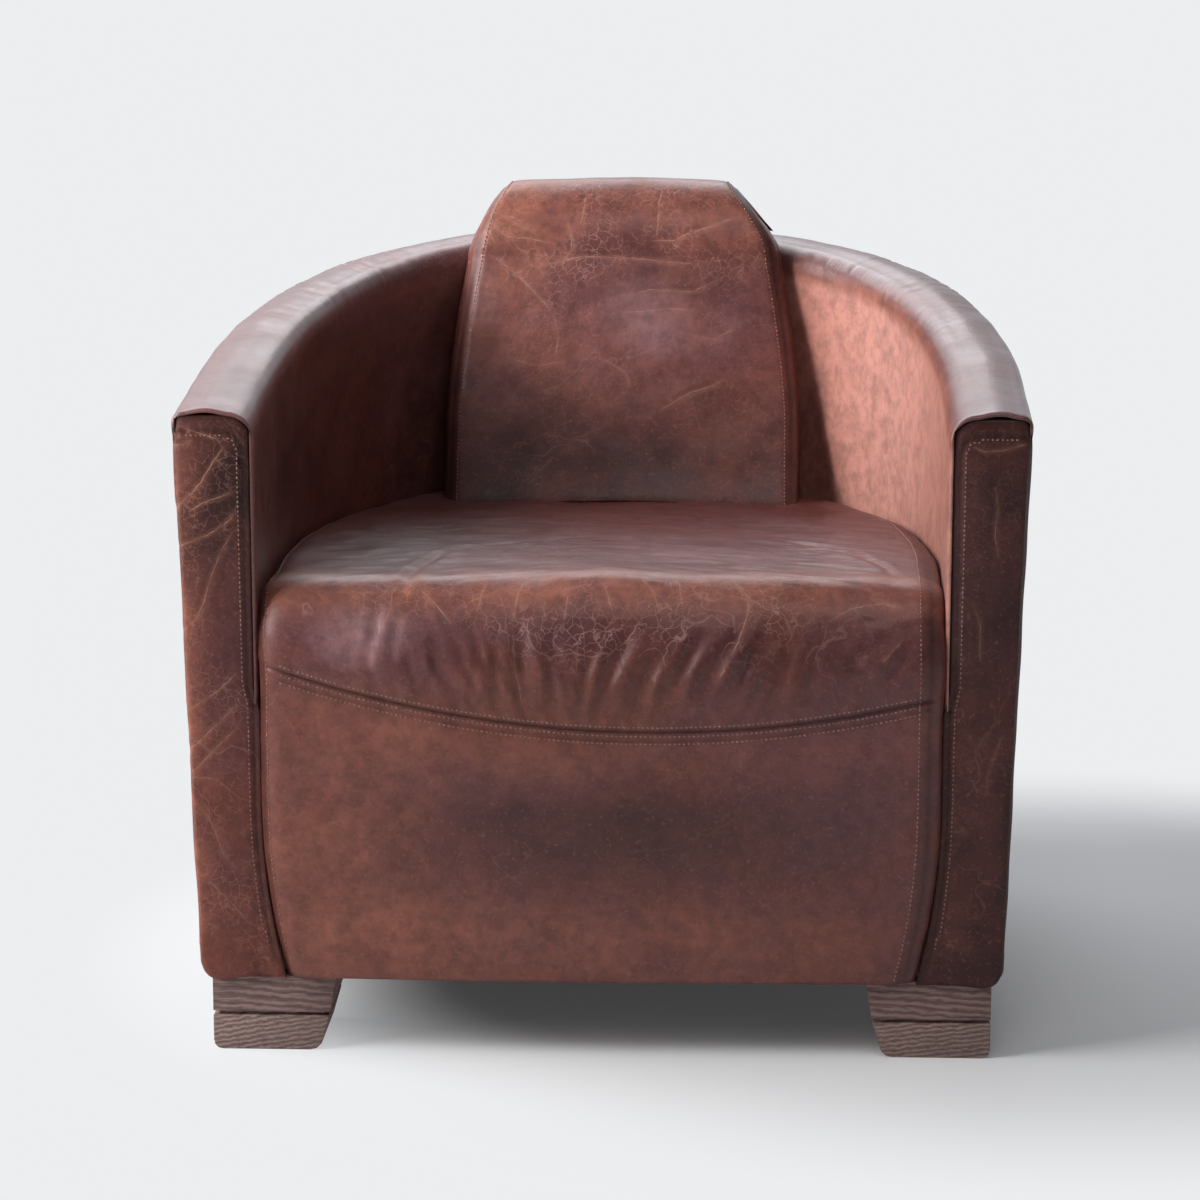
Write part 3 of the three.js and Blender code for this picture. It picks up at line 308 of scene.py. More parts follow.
def line_distance(a, b, line):
    """Signed distance in millimetres from each point to a drawn line, and its share along the line."""
    best = np.full(a.shape, 1e6)
    side = np.ones(a.shape)
    share = np.zeros(a.shape)
    lengths = [math.dist(p, q) for p, q in zip(line, line[1:])]
    done = 0.0
    for (pa, pb), (qa, qb), length in zip(line, line[1:], lengths):
        da, db = (qa - pa) / length, (qb - pb) / length
        raw = (a - pa) * da + (b - pb) * db
        run = np.clip(raw, 0, length)
        off = np.hypot(a - pa - run * da, b - pb - run * db)
        nearer = off < best
        best = np.where(nearer, off, best)
        side = np.where(nearer, np.sign((a - pa) * db - (b - pb) * da + 1e-9), side)
        share = np.where(nearer, (done + run) / sum(lengths), share)
        done += length
    return best * side, share


def bell(value, width):
    return np.exp(-((value / width) ** 2))


def drawn_creases(a, b, lines):
    """Two fields for the shader: the side and distance of the nearest drawn crease, and how near it is."""
    side, near = np.full(a.shape, 9.0), np.zeros(a.shape)
    for strength, line in lines:
        off, share = line_distance(a, b, line)
        here = strength * bell(off, 5.0) * np.clip(6 * share, 0, 1) * np.clip(6 * (1 - share), 0, 1)
        side = np.where(here > near, off, side)
        near = np.maximum(here, near)
    return side, near


def folds(a, b, lines):
    """Heights for drawn folds: a valley along each line with a soft ridge at both sides."""
    height = np.zeros(a.shape)
    for depth, width, line in lines:
        off, share = line_distance(a, b, line)
        fade = np.sin(np.pi * np.clip(share, 0, 1)) ** 0.6
        fade = np.where((share <= 0) | (share >= 1), 0, fade)
        height += depth * fade * (0.55 * bell(np.abs(off) - 1.7 * width, 0.9 * width) - bell(off, width))
    return height


def patch(a, b, centre, reach):
    return np.exp(-(((a - centre[0]) / reach[0]) ** 2) - ((b - centre[1]) / reach[1]) ** 2)


def skin(name, grid, unfolded, fields, closing=None):
    """A hide's mesh. Its grid is open, or closed behind by rows of points, as a padded body is."""
    rows, columns = grid.shape[:2]
    points = grid if closing is None else np.concatenate([grid, closing], axis=1)
    width = points.shape[1]
    faces = []
    for r in range(rows - 1):
        for c in range(width - 1 if closing is None else width):
            n = (c + 1) % width
            faces.append((r * width + c, r * width + n, (r + 1) * width + n, (r + 1) * width + c))
    if closing is not None:
        faces.append(tuple(range(width))[::-1])
        faces.append(tuple((rows - 1) * width + c for c in range(width)))
    data = bpy.data.meshes.new(name)
    data.from_pydata((points.reshape(-1, 3) * MM).tolist(), [], faces)
    for label, values in fields.items():
        full = np.zeros((rows, width))
        full[:, :columns] = values
        if label == "crease_side":
            full[:, columns:] = 9.0
        field = data.attributes.new(label, "FLOAT", "POINT").data
        field.foreach_set("value", full.ravel().astype(np.float32))
    flat = np.zeros((rows, width, 2))
    flat[:, :columns] = unfolded * MM
    flat[:, columns:] = flat[:, columns - 1:columns]
    uv = data.uv_layers.new(name="hide")
    corner = np.zeros(len(data.loops), np.int32)
    data.loops.foreach_get("vertex_index", corner)
    uv.data.foreach_set("uv", flat.reshape(-1, 2)[corner].astype(np.float32).ravel())
    shape = bmesh.new()
    shape.from_mesh(data)
    if closing is not None:
        bmesh.ops.recalc_face_normals(shape, faces=shape.faces)
        if shape.calc_volume(signed=True) < 0:
            bmesh.ops.reverse_faces(shape, faces=shape.faces)
    shape.to_mesh(data)
    shape.free()
    data.shade_smooth()
    made = bpy.data.objects.new(name, data)
    bpy.context.scene.collection.objects.link(made)
    return made


def run_lengths(grid):
    """The hide laid flat: how far each point lies along the rows and down the columns."""
    across = np.concatenate([np.zeros((grid.shape[0], 1)),
                             np.cumsum(np.linalg.norm(np.diff(grid, axis=1), axis=2), axis=1)], axis=1)
    along = np.concatenate([np.zeros((1, grid.shape[1])),
                            np.cumsum(np.linalg.norm(np.diff(grid, axis=0), axis=2), axis=0)], axis=0)
    middle = along[:, [grid.shape[1] // 2]]
    return np.dstack([np.broadcast_to(middle, across.shape), across])


hide_fields = {
    "Worn": "worn", "Tan": "tan", "Plum And Highlight": "plum_and_highlight", "Smoke And Shade": "smoke_and_shade", "Seam": "seam", "Ripple": "ripple",
    "Crease Side": "crease_side", "Crease Near": "crease_near",
}
old_hide, hide_in, hide_out = new_group(
    "old_hide", "ShaderNodeTree",
    [("Place", "NodeSocketVector", None), ("Flat", "NodeSocketVector", None)]
    + [(label, "NodeSocketFloat", 0.0) for label in (*hide_fields, "Turn")],
    [("Color", "NodeSocketColor"), ("Roughness", "NodeSocketFloat"), ("Height", "NodeSocketFloat")],
)


def moved_noise(scale, detail, roughness, distortion, shift, place="Place"):
    """Noise on the hide, turned with each piece so that no two share their marks."""
    made = add_node(old_hide, "ShaderNodeTexNoise", {
        "Vector": hide_in[place], "Scale": scale, "Detail": detail, "Roughness": roughness,
        "Distortion": distortion})
    made.noise_dimensions = "4D"
    old_hide.links.new(reckon(old_hide, "ADD", hide_in["Turn"], shift), made.inputs["W"])
    return made.outputs["Fac"]


broad = moved_noise(6.0, 4.0, 0.55, 0.6, 0.0)
cloudy = moved_noise(17.0, 6.0, 0.62, 0.5, 3.0)
mottle = moved_noise(75.0, 5.0, 0.65, 0.2, 6.0)
fine_specks = moved_noise(240.0, 3.0, 0.6, 0.0, 9.0)
plum_cloud = reckon(old_hide, "MULTIPLY", hide_in["Plum And Highlight"], between(old_hide, cloudy, 0.3, 0.6, 0.4, 1.0))
plum_share = reckon(old_hide, "ADD", between(old_hide, broad, 0.42, 0.62, 0.0, 0.7), plum_cloud, clamp=True)
tone = blend_colours(old_hide, plum_share, paint(104, 57, 48), paint(92, 55, 60))
# Where the plum field passes 1, the excess paints a pale pink highlight: on the seat's roll and top and on
# the pad's face and right side.
painted_pale_highlight = reckon(old_hide, "SUBTRACT", hide_in["Plum And Highlight"], 1.0, clamp=True)
tone = blend_colours(old_hide, painted_pale_highlight, tone, paint(164, 128, 134))
tan_and_light_share = reckon(old_hide, "MULTIPLY", reckon(old_hide, "ADD", hide_in["Tan"], 0.12),
                   between(old_hide, cloudy, 0.3, 0.7, 0.25, 1.0), clamp=True)
tone = blend_colours(old_hide, tan_and_light_share, tone, paint(160, 98, 78))
# Where the tan field passes 1, the excess is painted window light: it paints the right arm's inner wall pale
# where the window on the left lights it.
painted_window_light = reckon(old_hide, "SUBTRACT", hide_in["Tan"], 1.0, clamp=True)
tone = blend_colours(old_hide, painted_window_light, tone, paint(204, 148, 136))
# The smoke field darkens the hide: partly its own smoky patches, partly painted shade on the left arm's
# inside, the right facing, the left facing's inner top, the pad's foot and the seat's top under the left arm.
smoke_and_shade_share = reckon(old_hide, "MULTIPLY", hide_in["Smoke And Shade"], between(old_hide, cloudy, 0.28, 0.62, 1.0, 0.55),
                     clamp=True)
tone = blend_colours(old_hide, smoke_and_shade_share, tone, paint(48, 29, 27))
tone = blend_colours(old_hide, between(old_hide, mottle, 0.34, 0.68, 0.0, 0.42), tone, paint(58, 32, 30))
speck_share = between(old_hide, fine_specks, 0.55, 0.72, 0.0, 0.2)
tone = blend_colours(old_hide, speck_share, tone, paint(164, 112, 94))


def wandering_lines(scale, thin, shift, detail=2.0):
    """Hairlines that wander as the level lines of a slow noise do."""
    level = reckon(old_hide, "ABSOLUTE", reckon(
        old_hide, "SUBTRACT", moved_noise(scale, detail, 0.42, 0.2, shift, "Flat"), 0.5))
    return between(old_hide, level, 0.0, thin, 1.0, 0.0)


# Fine cracks in a net where the hide is worn, single hairlines, and creases drawn along their folds.
craze_warp = add_node(old_hide, "ShaderNodeTexNoise", {
    "Vector": hide_in["Flat"], "Scale": 90.0, "Detail": 4.0})
craze_shift = add_node(old_hide, "ShaderNodeVectorMath", {
    0: craze_warp.outputs["Color"], 3: 0.014}, operation="SCALE")
craze_place = add_node(old_hide, "ShaderNodeVectorMath", {
    0: hide_in["Flat"], 1: craze_shift.outputs[0]}, operation="ADD")
craze_cells = add_node(old_hide, "ShaderNodeTexVoronoi", {
    "Vector": craze_place.outputs[0], "Scale": 105.0}, feature="DISTANCE_TO_EDGE")
craze_area = reckon(old_hide, "MULTIPLY", hide_in["Worn"], between(
    old_hide, moved_noise(22.0, 4.0, 0.6, 0.0, 12.0), 0.34, 0.66))
craze_lines = between(old_hide, craze_cells.outputs["Distance"], 0.0, 0.055, 1.0, 0.0)
craze = reckon(old_hide, "MULTIPLY", craze_lines, craze_area)
hairlines = reckon(
    old_hide, "MAXIMUM", wandering_lines(7.0, 0.0035, 15.0, 5.0), wandering_lines(15.0, 0.006, 18.0, 4.0))
hair_area = reckon(
    old_hide, "MULTIPLY", between(old_hide, moved_noise(11.0, 2.0, 0.5, 0.0, 21.0), 0.48, 0.66),
    reckon(old_hide, "ADD", hide_in["Worn"], 0.12))
hair = reckon(old_hide, "MULTIPLY", hairlines, hair_area, clamp=True)
wobble = reckon(old_hide, "MULTIPLY", reckon(
    old_hide, "SUBTRACT", moved_noise(160.0, 3.0, 0.6, 0.0, 24.0, "Flat"), 0.5), 3.4)
crease_off = reckon(old_hide, "ABSOLUTE", reckon(old_hide, "ADD", hide_in["Crease Side"], wobble))
crease_breaks = between(old_hide, moved_noise(85.0, 3.0, 0.6, 0.0, 27.0), 0.36, 0.6, 0.15, 1.0)
drawn = reckon(
    old_hide, "MULTIPLY", between(old_hide, crease_off, 0.1, 0.7, 1.0, 0.0),
    reckon(old_hide, "MULTIPLY", hide_in["Crease Near"], crease_breaks))
halo = reckon(
    old_hide, "MULTIPLY", between(old_hide, crease_off, 0.0, 5.0, 0.22, 0.0), hide_in["Crease Near"])
cracks = reckon(old_hide, "MAXIMUM", drawn, reckon(old_hide, "MULTIPLY", hair, 0.6))
cracks = reckon(old_hide, "MAXIMUM", cracks, reckon(old_hide, "MULTIPLY", craze, 0.75), clamp=True)
tone = blend_colours(old_hide, halo, tone, paint(158, 108, 84))
tone = blend_colours(old_hide, reckon(old_hide, "MULTIPLY", cracks, 0.55), tone, paint(184, 138, 124))
tone = blend_colours(old_hide, reckon(old_hide, "MULTIPLY", hide_in["Seam"], 0.75), tone, paint(34, 20, 19))
old_hide.links.new(tone, hide_out["Color"])

rough = between(old_hide, cloudy, 0.3, 0.7, 0.36, 0.5)
rough = reckon(old_hide, "ADD", rough, reckon(old_hide, "MULTIPLY", cracks, 0.2))
old_hide.links.new(rough, hide_out["Roughness"])

# The hide's grain, its small ripples along a pull and its crumpled surface, with the cracks sunk in.
pebbles = add_node(
    old_hide, "ShaderNodeTexVoronoi", {"Vector": hide_in["Place"], "Scale": 620.0}).outputs["Distance"]
stretched = add_node(old_hide, "ShaderNodeMapping", {"Vector": hide_in["Flat"], "Scale": (170.0, 14.0, 1.0)})
ripple_noise = add_node(old_hide, "ShaderNodeTexNoise", {
    "Vector": stretched.outputs[0], "Scale": 1.0, "Detail": 3.0, "Roughness": 0.55, "Distortion": 0.3})
ripples = reckon(old_hide, "MULTIPLY", hide_in["Ripple"], ripple_noise.outputs["Fac"])
crumple = moved_noise(38.0, 4.0, 0.5, 0.4, 30.0)
height = reckon(old_hide, "MULTIPLY", pebbles, 0.16)
height = reckon(old_hide, "ADD", height, reckon(old_hide, "MULTIPLY", ripples, 1.1))
height = reckon(old_hide, "ADD", height, reckon(old_hide, "MULTIPLY", crumple, 1.0))
height = reckon(old_hide, "SUBTRACT", height, reckon(old_hide, "MULTIPLY", cracks, 0.35))
old_hide.links.new(height, hide_out["Height"])


def hide_finish(name, turn, gloss, wax):
    """The waxed hide of one piece, with a turn of its own so that no two pieces share their marks."""
    made = bpy.data.materials.new(name)
    made.use_nodes = True
    tree = made.node_tree
    shader = tree.nodes["Principled BSDF"]
    marks = add_node(tree, "ShaderNodeGroup", node_tree=old_hide)
    tree.links.new(add_node(tree, "ShaderNodeTexCoord").outputs["Object"], marks.inputs["Place"])
    tree.links.new(add_node(tree, "ShaderNodeUVMap", uv_map="hide").outputs[0], marks.inputs["Flat"])
    for socket, label in hide_fields.items():
        field = add_node(tree, "ShaderNodeAttribute", attribute_name=label)
        tree.links.new(field.outputs["Fac"], marks.inputs[socket])
    marks.inputs["Turn"].default_value = turn
    tree.links.new(marks.outputs["Color"], shader.inputs["Base Color"])
    tree.links.new(marks.outputs["Roughness"], shader.inputs["Roughness"])
    bump = add_node(tree, "ShaderNodeBump", {
        "Strength": 0.55, "Distance": 0.0012, "Height": marks.outputs["Height"]})
    tree.links.new(bump.outputs["Normal"], shader.inputs["Normal"])
    shader.inputs["Specular IOR Level"].default_value = gloss
    shader.inputs["Specular Tint"].default_value = (0.95, 0.8, 0.8, 1.0)
    shader.inputs["Coat Weight"].default_value = wax
    shader.inputs["Coat Roughness"].default_value = 0.25
    return made


def hide_ready(made, finish, replaced):
    """The hide takes its finish and the place of the frame's pieces that it covers."""
    made.data.materials.append(finish)
    made = as_plain_mesh(made)
    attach(made, "root")
    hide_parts(*replaced)
    return made


# The arm's hide ends behind the seat's side. Its top turns over at both edges and is a little crowned,
# and at the front its lip turns down and is tucked in behind the facing.
ARM_SEAT_Z = 317.0
OUTER_TURN = 11.0
INNER_TURN = 24.0
TOP_CROWN = 3.0
LIP = 3.5
LIP_RUN = 7.0
LIP_TUCK = 8.0


def arm_section(width, rim):
    """The padded top in section: how far across the wall and how high, from the outer seam inwards."""
    turn = np.linspace(0, math.pi / 2, 9)
    w = [np.array([0.0, 0.0]), OUTER_TURN * (1 - np.cos(turn[1:]))]
    z = [np.array([-14.0, -OUTER_TURN]), OUTER_TURN * np.sin(turn[1:]) - OUTER_TURN]
    flat = np.linspace(0, 1, 12)[1:]
    w.append(OUTER_TURN + flat * (width - INNER_TURN - OUTER_TURN))
    z.append(TOP_CROWN * np.sin(math.pi * flat) ** 1.2)
    w.append(width - INNER_TURN * (1 - np.sin(turn[1:])))
    z.append(INNER_TURN * np.cos(turn[1:]) - INNER_TURN)
    down = np.linspace(0, 1, 64)[1:]
    w.append(np.full(down.shape, width))
    z.append(-INNER_TURN + down * (ARM_SEAT_Z - rim + INNER_TURN))
    return np.concatenate(w), rim + np.concatenate(z)


def arm_grid(side, spacing=3.6):
    stations, run = even_stations(spacing)
    ox, oy = plan_line(stations, TUB_HALF, TUB_BACK)
    ix, iy = plan_line(stations, SPACE_HALF, SPACE_BACK)
    rim = rim_height(stations)
    rows = []
    for k in range(len(stations)):
        width = math.hypot(ox[k] - ix[k], oy[k] - iy[k])
        w, z = arm_section(width, rim[k])
        ahead = np.clip((TUB_FRONT + LIP_RUN - oy[k]) / LIP_RUN, 0, 1)
        turned = LIP * (1 - math.sqrt(max(0.0, 1 - ahead ** 2)))
        pinch_w = np.clip(w, turned, width - turned)
        fall = np.where(z > rim[k] - INNER_TURN, turned, 0)
        x = ox[k] + (ix[k] - ox[k]) * pinch_w / width
        y = oy[k] + (iy[k] - oy[k]) * pinch_w / width
        rows.append(np.stack([side * x, y, z - fall], axis=1))
    tucked = rows[-1] + np.array([side * 0.8, LIP_TUCK, 0.0])
    tucked[:, 2] -= np.where(tucked[:, 2] > RIM_FRONT - 12.0, 1.0, 0.0)
    rows.append(tucked)
    return np.array(rows), np.append(stations, 1.0), np.append(run, run[-1] + LIP_TUCK)


for arm, side in (("left", -1), ("right", 1)):
    base, stations, run = arm_grid(side)
    column = np.arange(base.shape[1])
    s = np.broadcast_to(stations[:, None], base.shape[:2])
    high = base[:, :, 2]
    rim = rim_height(s)
    on_top = np.clip((high - rim + 30) / 22, 0, 1)
    inside = (column[None, :] > 30) * np.ones(base.shape[:2])
    out = facing_out(base, (-side * 0.2, -0.2, 0.6))
    out *= np.sign((out[:, 14, 2]).mean())
    # The top is drawn into small folds across it where it bends most, and the inside hangs in soft ones.
    bend = bell(s - 0.45, 0.16)
    drag = rumple(np.dstack([run[:, None] * np.ones_like(s), high * 0.12, s * 0]), 11.0, 3.1 + side, 2)
    soft = rumple(base, 95.0, 8.0 + side, 2)
    inside_drag = 0.35 * inside * bell(high - 520, 60) * bell(s - 0.5, 0.2)
    lift = drag * (0.75 * on_top * bend + inside_drag) + 1.6 * soft
    edge = np.clip(1 - s, 0, 1) * 1200
    lift *= np.clip(edge / 60, 0, 1) * np.clip(column[None, :] / 6, 0, 1)
    seam_rear = bell(run[:, None] * np.ones_like(s), 2.5)
    lift = lift - 2.0 * seam_rear
    grid = base + out * lift[:, :, None]
    grid[0, :, 0] = 0.15 * side
    unfolded = run_lengths(grid)
    below_top = np.clip((rim - high - 8) / 26, 0, 1)
    # Painted light: the right arm's inner wall is painted pale tan where the window on the left lights it,
    # most at the middle of its run; the left arm's wall stays unlit.
    painted_light_right_inside = 1.4 + 0.6 * bell(s - 0.52, 0.18) if side > 0 else 0.05
    fields = {
        "worn": 0.35 * on_top + 0.25 * inside * bell(high - 480, 120),
        "tan": painted_light_right_inside * below_top + 0.15 * on_top,
        "plum_and_highlight": 0.8 * on_top,
        # Painted shade: the left arm's inner wall, turned away from the window, is darkened.
        "smoke_and_shade": 0.25 * on_top + (0.35 if side < 0 else 0.0) * inside,
        "seam": np.maximum(bell(column[None, :] * np.ones_like(s), 1.2), seam_rear * 0.8),
        "ripple": np.clip(on_top * (0.25 + 0.75 * bell(s - 0.45, 0.25)) + 0.3 * inside * (high > 430), 0, 1),
        "crease_side": np.full(s.shape, 9.0),
        "crease_near": np.zeros(s.shape),
    }
    ix, iy = plan_line(stations, SPACE_HALF + 26, SPACE_BACK + 26)
    closing = np.stack([
        np.stack([side * ix, iy, np.full(ix.shape, ARM_SEAT_Z)], axis=1),
        np.stack([side * ix, iy, rim_height(stations) - 26], axis=1),
        np.stack([base[:, 0, 0] * 0.996, base[:, 0, 1] - 1.0, rim_height(stations) - 26], axis=1),
    ], axis=1)
    closing[-2:, :, 1] += LIP_TUCK
    made = skin(f"arm_hide_{arm}", grid, unfolded, fields, closing)
    replaced = [f"arm_cover_{arm}", f"tub_foam_{arm}"] + (["tub_foam_back"] if side < 0 else [])
    hide_ready(made, hide_finish(f"hide_arm_{arm}", 1.3 + side, 0.6, 0.35), replaced)

# Outside hides: each goes from the seam at the middle of the back round the side, bends over the
# arm's front corner without a seam and covers the padded facing. It wraps under the rails.
FACING_CORNER = 7.0
UNDER_TURN = 12.0
WRAP = 34.0
HIDE = 1.5
WALL_TAPER = 15.0
OUTER_SEAM = 14.3
DOWN_PLACES = 130


def facing_top(x, outer, inner):
    """The facing's top edge, under the lip of the arm's hide."""
    lip = LIP - 0.4
    top = np.full(x.shape, RIM_FRONT - lip)
    for centre, radius, beyond in ((outer - OUTER_TURN, OUTER_TURN, x - (outer - OUTER_TURN)),
                                   (inner + INNER_TURN, INNER_TURN, (inner + INNER_TURN) - x)):
        reach = np.clip(beyond, 0, radius - lip)
        rounded = RIM_FRONT - radius + np.sqrt(np.maximum((radius - lip) ** 2 - reach ** 2, 0))
        top = np.where(beyond > 0, rounded, top)
    return top


def belly(z):
    return 19.0 * (np.clip(230.0 - z, 0, None) / 159.7) ** 2


def raised(row, top):
    """A row of the hide with its straight part stretched up to a new top edge."""
    foot = UNDERSIDE + UNDER_TURN
    straight = row[:DOWN_PLACES, 2]
    row[:DOWN_PLACES, 2] = foot + (straight - foot) * (top - foot) / (straight[0] - foot)
    return row


def outside_grid(side, spacing=5.0):
    stations = even_stations(spacing)[0]
    _, oy = plan_line(stations, TUB_HALF, TUB_BACK)
    stations = stations[oy > TUB_FRONT + FACING_CORNER]
    turn = np.linspace(0, math.pi / 2, 7)
    downs = np.concatenate([np.linspace(0, 0.1, 21), np.linspace(0.1, 1, 110)[1:]])
    rows = []
    for station in stations:
        rim = rim_height(station)
        top = rim - OUTER_SEAM
        z = top + (UNDERSIDE + UNDER_TURN - top) * downs
        inset = np.zeros(z.shape)
        z = np.concatenate([z, UNDERSIDE + UNDER_TURN * (1 - np.sin(turn[1:])), [UNDERSIDE]])
        inset = np.concatenate([inset, UNDER_TURN * (1 - np.cos(turn[1:])), [UNDER_TURN + WRAP]])
        taper = WALL_TAPER * (rim - z) / (rim - UNDERSIDE)
        half, back = TUB_HALF - taper - inset, TUB_BACK - taper - inset
        x, y = plan_line(np.full(z.shape, station), half, back)
        rows.append(np.stack([x, y, z], axis=1))
    last = rows[-1]
    for angle in np.linspace(0, math.pi / 2, 8)[1:]:
        row = last.copy()
        row[:, 0] = last[:, 0] - FACING_CORNER * (1 - math.cos(angle))
        row[:, 1] = TUB_FRONT + FACING_CORNER * (1 - math.sin(angle))
        rows.append(raised(row, facing_top(row[:1, 0], TUB_HALF - PINCH, SPACE_HALF - PINCH)[0]))
    edge = rows[-1]
    outer = TUB_HALF - PINCH
    inner = SPACE_HALF - PINCH + LIP + 0.3
    for share in np.linspace(0, 1, 29)[1:]:
        row = edge.copy()
        low_inner = inner - belly(row[:, 2]) - (LIP + 1.5) * np.clip((ARM_SEAT_Z + 22 - row[:, 2]) / 20, 0, 1)
        row[:, 0] = edge[:, 0] + (low_inner - edge[:, 0]) * share
        top_x = edge[0, 0] + (inner - edge[0, 0]) * share
        top = facing_top(np.array([top_x]), outer, inner - LIP)[0]
        rows.append(raised(row, top))
    grid = np.array(rows)
    grid[:, :, 0] *= side
    return grid


left_lines = [
    (0.9, [(-369, 567), (-354, 561), (-339, 557), (-329, 553)]),
    (0.6, [(-374, 548), (-361, 550), (-352, 555)]),
    (1.0, [(-325, 550), (-336, 535), (-347, 517), (-358, 505), (-369, 494), (-374, 481)]),
    (1.0, [(-315, 510), (-330, 504), (-346, 499), (-359, 490)]),
    (1.0, [(-315, 492), (-327, 480), (-341, 471), (-363, 462), (-374, 456)]),
    (0.8, [(-317, 478), (-331, 456), (-340, 434), (-347, 411), (-354, 396), (-372, 377)]),
    (0.9, [(-318, 348), (-337, 331), (-366, 311)]),
    (0.9, [(-315, 323), (-344, 295), (-370, 270)]),
    (0.8, [(-318, 300), (-340, 279), (-363, 254)]),
    (0.5, [(-362, 236), (-345, 214), (-330, 170)]),
    (0.5, [(-350, 160), (-330, 140), (-312, 118)]),
]
right_lines = [
    (0.8, [(318, 553), (330, 547), (350, 549), (371, 556)]),
    (0.5, [(340, 520), (343, 500), (341, 478), (345, 450)]),
    (0.4, [(322, 420), (330, 396), (331, 360)]),
    (0.4, [(352, 300), (340, 262), (338, 240)]),
]
facing_seams = {}
for arm, side in (("left", -1), ("right", 1)):
    base = outside_grid(side)
    x, y, z = base[:, :, 0], base[:, :, 1], base[:, :, 2]
    out = facing_out(base, (side, 0.2, 0.0))
    front = np.clip((-340 - y) / 30, 0, 1)
    across = (np.abs(x) - 306) / 66
    plump = 4.0 * np.clip(np.sin(np.pi * np.clip(across, 0, 1)), 0, 1) ** 0.7 * (y < TUB_FRONT + 1)
    # The arm's hide is turned over the facing's edge and topstitched, so small puckers run into the row.
    from_top = z[:, [0]] - z
    from_inside = np.abs(x) - np.abs(x[-1])
    turned = -6.0 * np.log(np.exp(-(from_top - 15.0) / 6.0) + np.exp(-(from_inside - 7.5) / 6.0) + 1e-9)
    on_facing = np.clip((TUB_FRONT + 3 - y) / 3, 0, 1) * (z > 86)
    way = np.where(from_top < from_inside + 8, x, z)
    along_row = rumple(np.dstack([way, way * 0, from_top * 0.1]), 5.5, 20.0 + side, 2)
    pucker = 1.2 * along_row * bell(turned + 2, 6) * on_facing
    pucker *= np.clip(from_inside / 5 - 0.4, 0, 1) * np.clip(from_top / 4 - 0.4, 0, 1)
    topstitch = on_facing * bell(turned + 1.5, 1.8)
    soft = 1.8 * rumple(base, 120.0, 5.0 + side, 2) * (z > 95)
    lines = left_lines if side < 0 else right_lines
    slants = folds(x, z, [(0.7 * strength, 3.5, line) for strength, line in lines]) * front
    edge = np.clip((z[:, [0]] - z) / 60, 0, 1)
    last = np.minimum((base.shape[0] - 1 - np.arange(base.shape[0]))[:, None], 10) / 10 * np.ones(x.shape)
    dip = -1.6 * bell(last, 0.35) - 1.2 * bell(edge, 0.16)
    lift = plump * edge ** 0.5 + soft * edge * last + slants + dip + pucker - 1.1 * topstitch
    seam_rear = bell(x, 2.5) * (y > 300)
    grid = base + out * (lift - 1.5 * seam_rear)[:, :, None]
    grid[0, :, 0] = 0.15 * side
    unfolded = run_lengths(grid)
    side_mm, near = drawn_creases(x, z, lines)
    near = near * front
    # Painted light: the left facing is painted pale tan along its outer edge, where the light from the left
    # falls on it.
    painted_light_left_edge = bell(x + 372, 22) if side < 0 else 0 * x
    fields = {
        "worn": 0.18 + (0.4 if side < 0 else 0.0) * front,
        "tan": 0.9 * painted_light_left_edge * front * np.clip((600 - z) / 300, 0.2, 1) + 0.25 * (1 - front) + 0.05,
        "plum_and_highlight": 0.5 * patch(x, z, (side * 330, 360), (60, 110)) * front,
        # Painted shade: the right facing is darkened all over, as less of the window's light reaches it, and
        # the left facing near its inner top.
        "smoke_and_shade": front * (1.1 if side > 0 else 1.15 * patch(x, z, (-322, 520), (60, 150))),
        "seam": np.clip(
            np.maximum(bell(edge * 60, 3.0), bell(last * 10, 1.3)) + seam_rear * 0.8 + 0.7 * topstitch, 0, 1),
        "ripple": 0.15 * front,
        "crease_side": side_mm, "crease_near": near,
    }
    made = skin(f"outside_hide_{arm}", grid, unfolded, fields)
    wall = made.modifiers.new("hide", "SOLIDIFY")
    wall.thickness = HIDE * MM
    wall.offset = -1.0
    middle = made.data.polygons[len(made.data.polygons) // 3]
    if middle.normal.dot(Vector((middle.center.x, middle.center.y, 0))) < 0:
        made.data.flip_normals()
    hide_ready(made, hide_finish(f"hide_outside_{arm}", 7.7 + side, 0.22, 0.04),
               [f"outside_cover_{arm}", f"facing_pad_{arm}"])
    beside = []
    for r in range(grid.shape[0] - 26, grid.shape[0] - 7):
        c = int(np.argmax(turned[r] > 1.5))
        beside.append(grid[r, c])
    corner_z = beside[-1][2]
    for c in range(base.shape[1] - 12):
        r = base.shape[0] - 1 - int(np.argmax(turned[::-1, c] > 1.5))
        if z[r, c] < corner_z and turned[:, c].max() > 1.5:
            beside.append(grid[r, c])
    facing_seams[arm] = [beside]

# Seat: foam on felt and springs under a tight hide that rolls over the front. A double topstitched
# seam joins it to the apron, and a gusset each side turns down beside the arms.
SEAT_FRONT = -391.0
SEAT_REAR = 296.0
SEAT_TOP = 430.0
# The top falls by this much from the roll back to the deck's line.
SEAT_DECK = 125.0
SEAT_DROP = 10.0
ROLL_DEPTH = 58.0
ROLL_DROP = 92.0
TUCK = 6.0
# Across, the top is crowned and falls over a rounded edge to a gusset.
EDGE_WIDTH = 26.0
EDGE_FALL = 16.0
SEAT_CROWN = 4.0
GUSSET = 40.0
# The front seam is lowest near the middle, rises to both sides and leans a little.
SEAM_LOW = 301.0
SEAM_RISE = 38.5
SEAM_TILT = -0.042


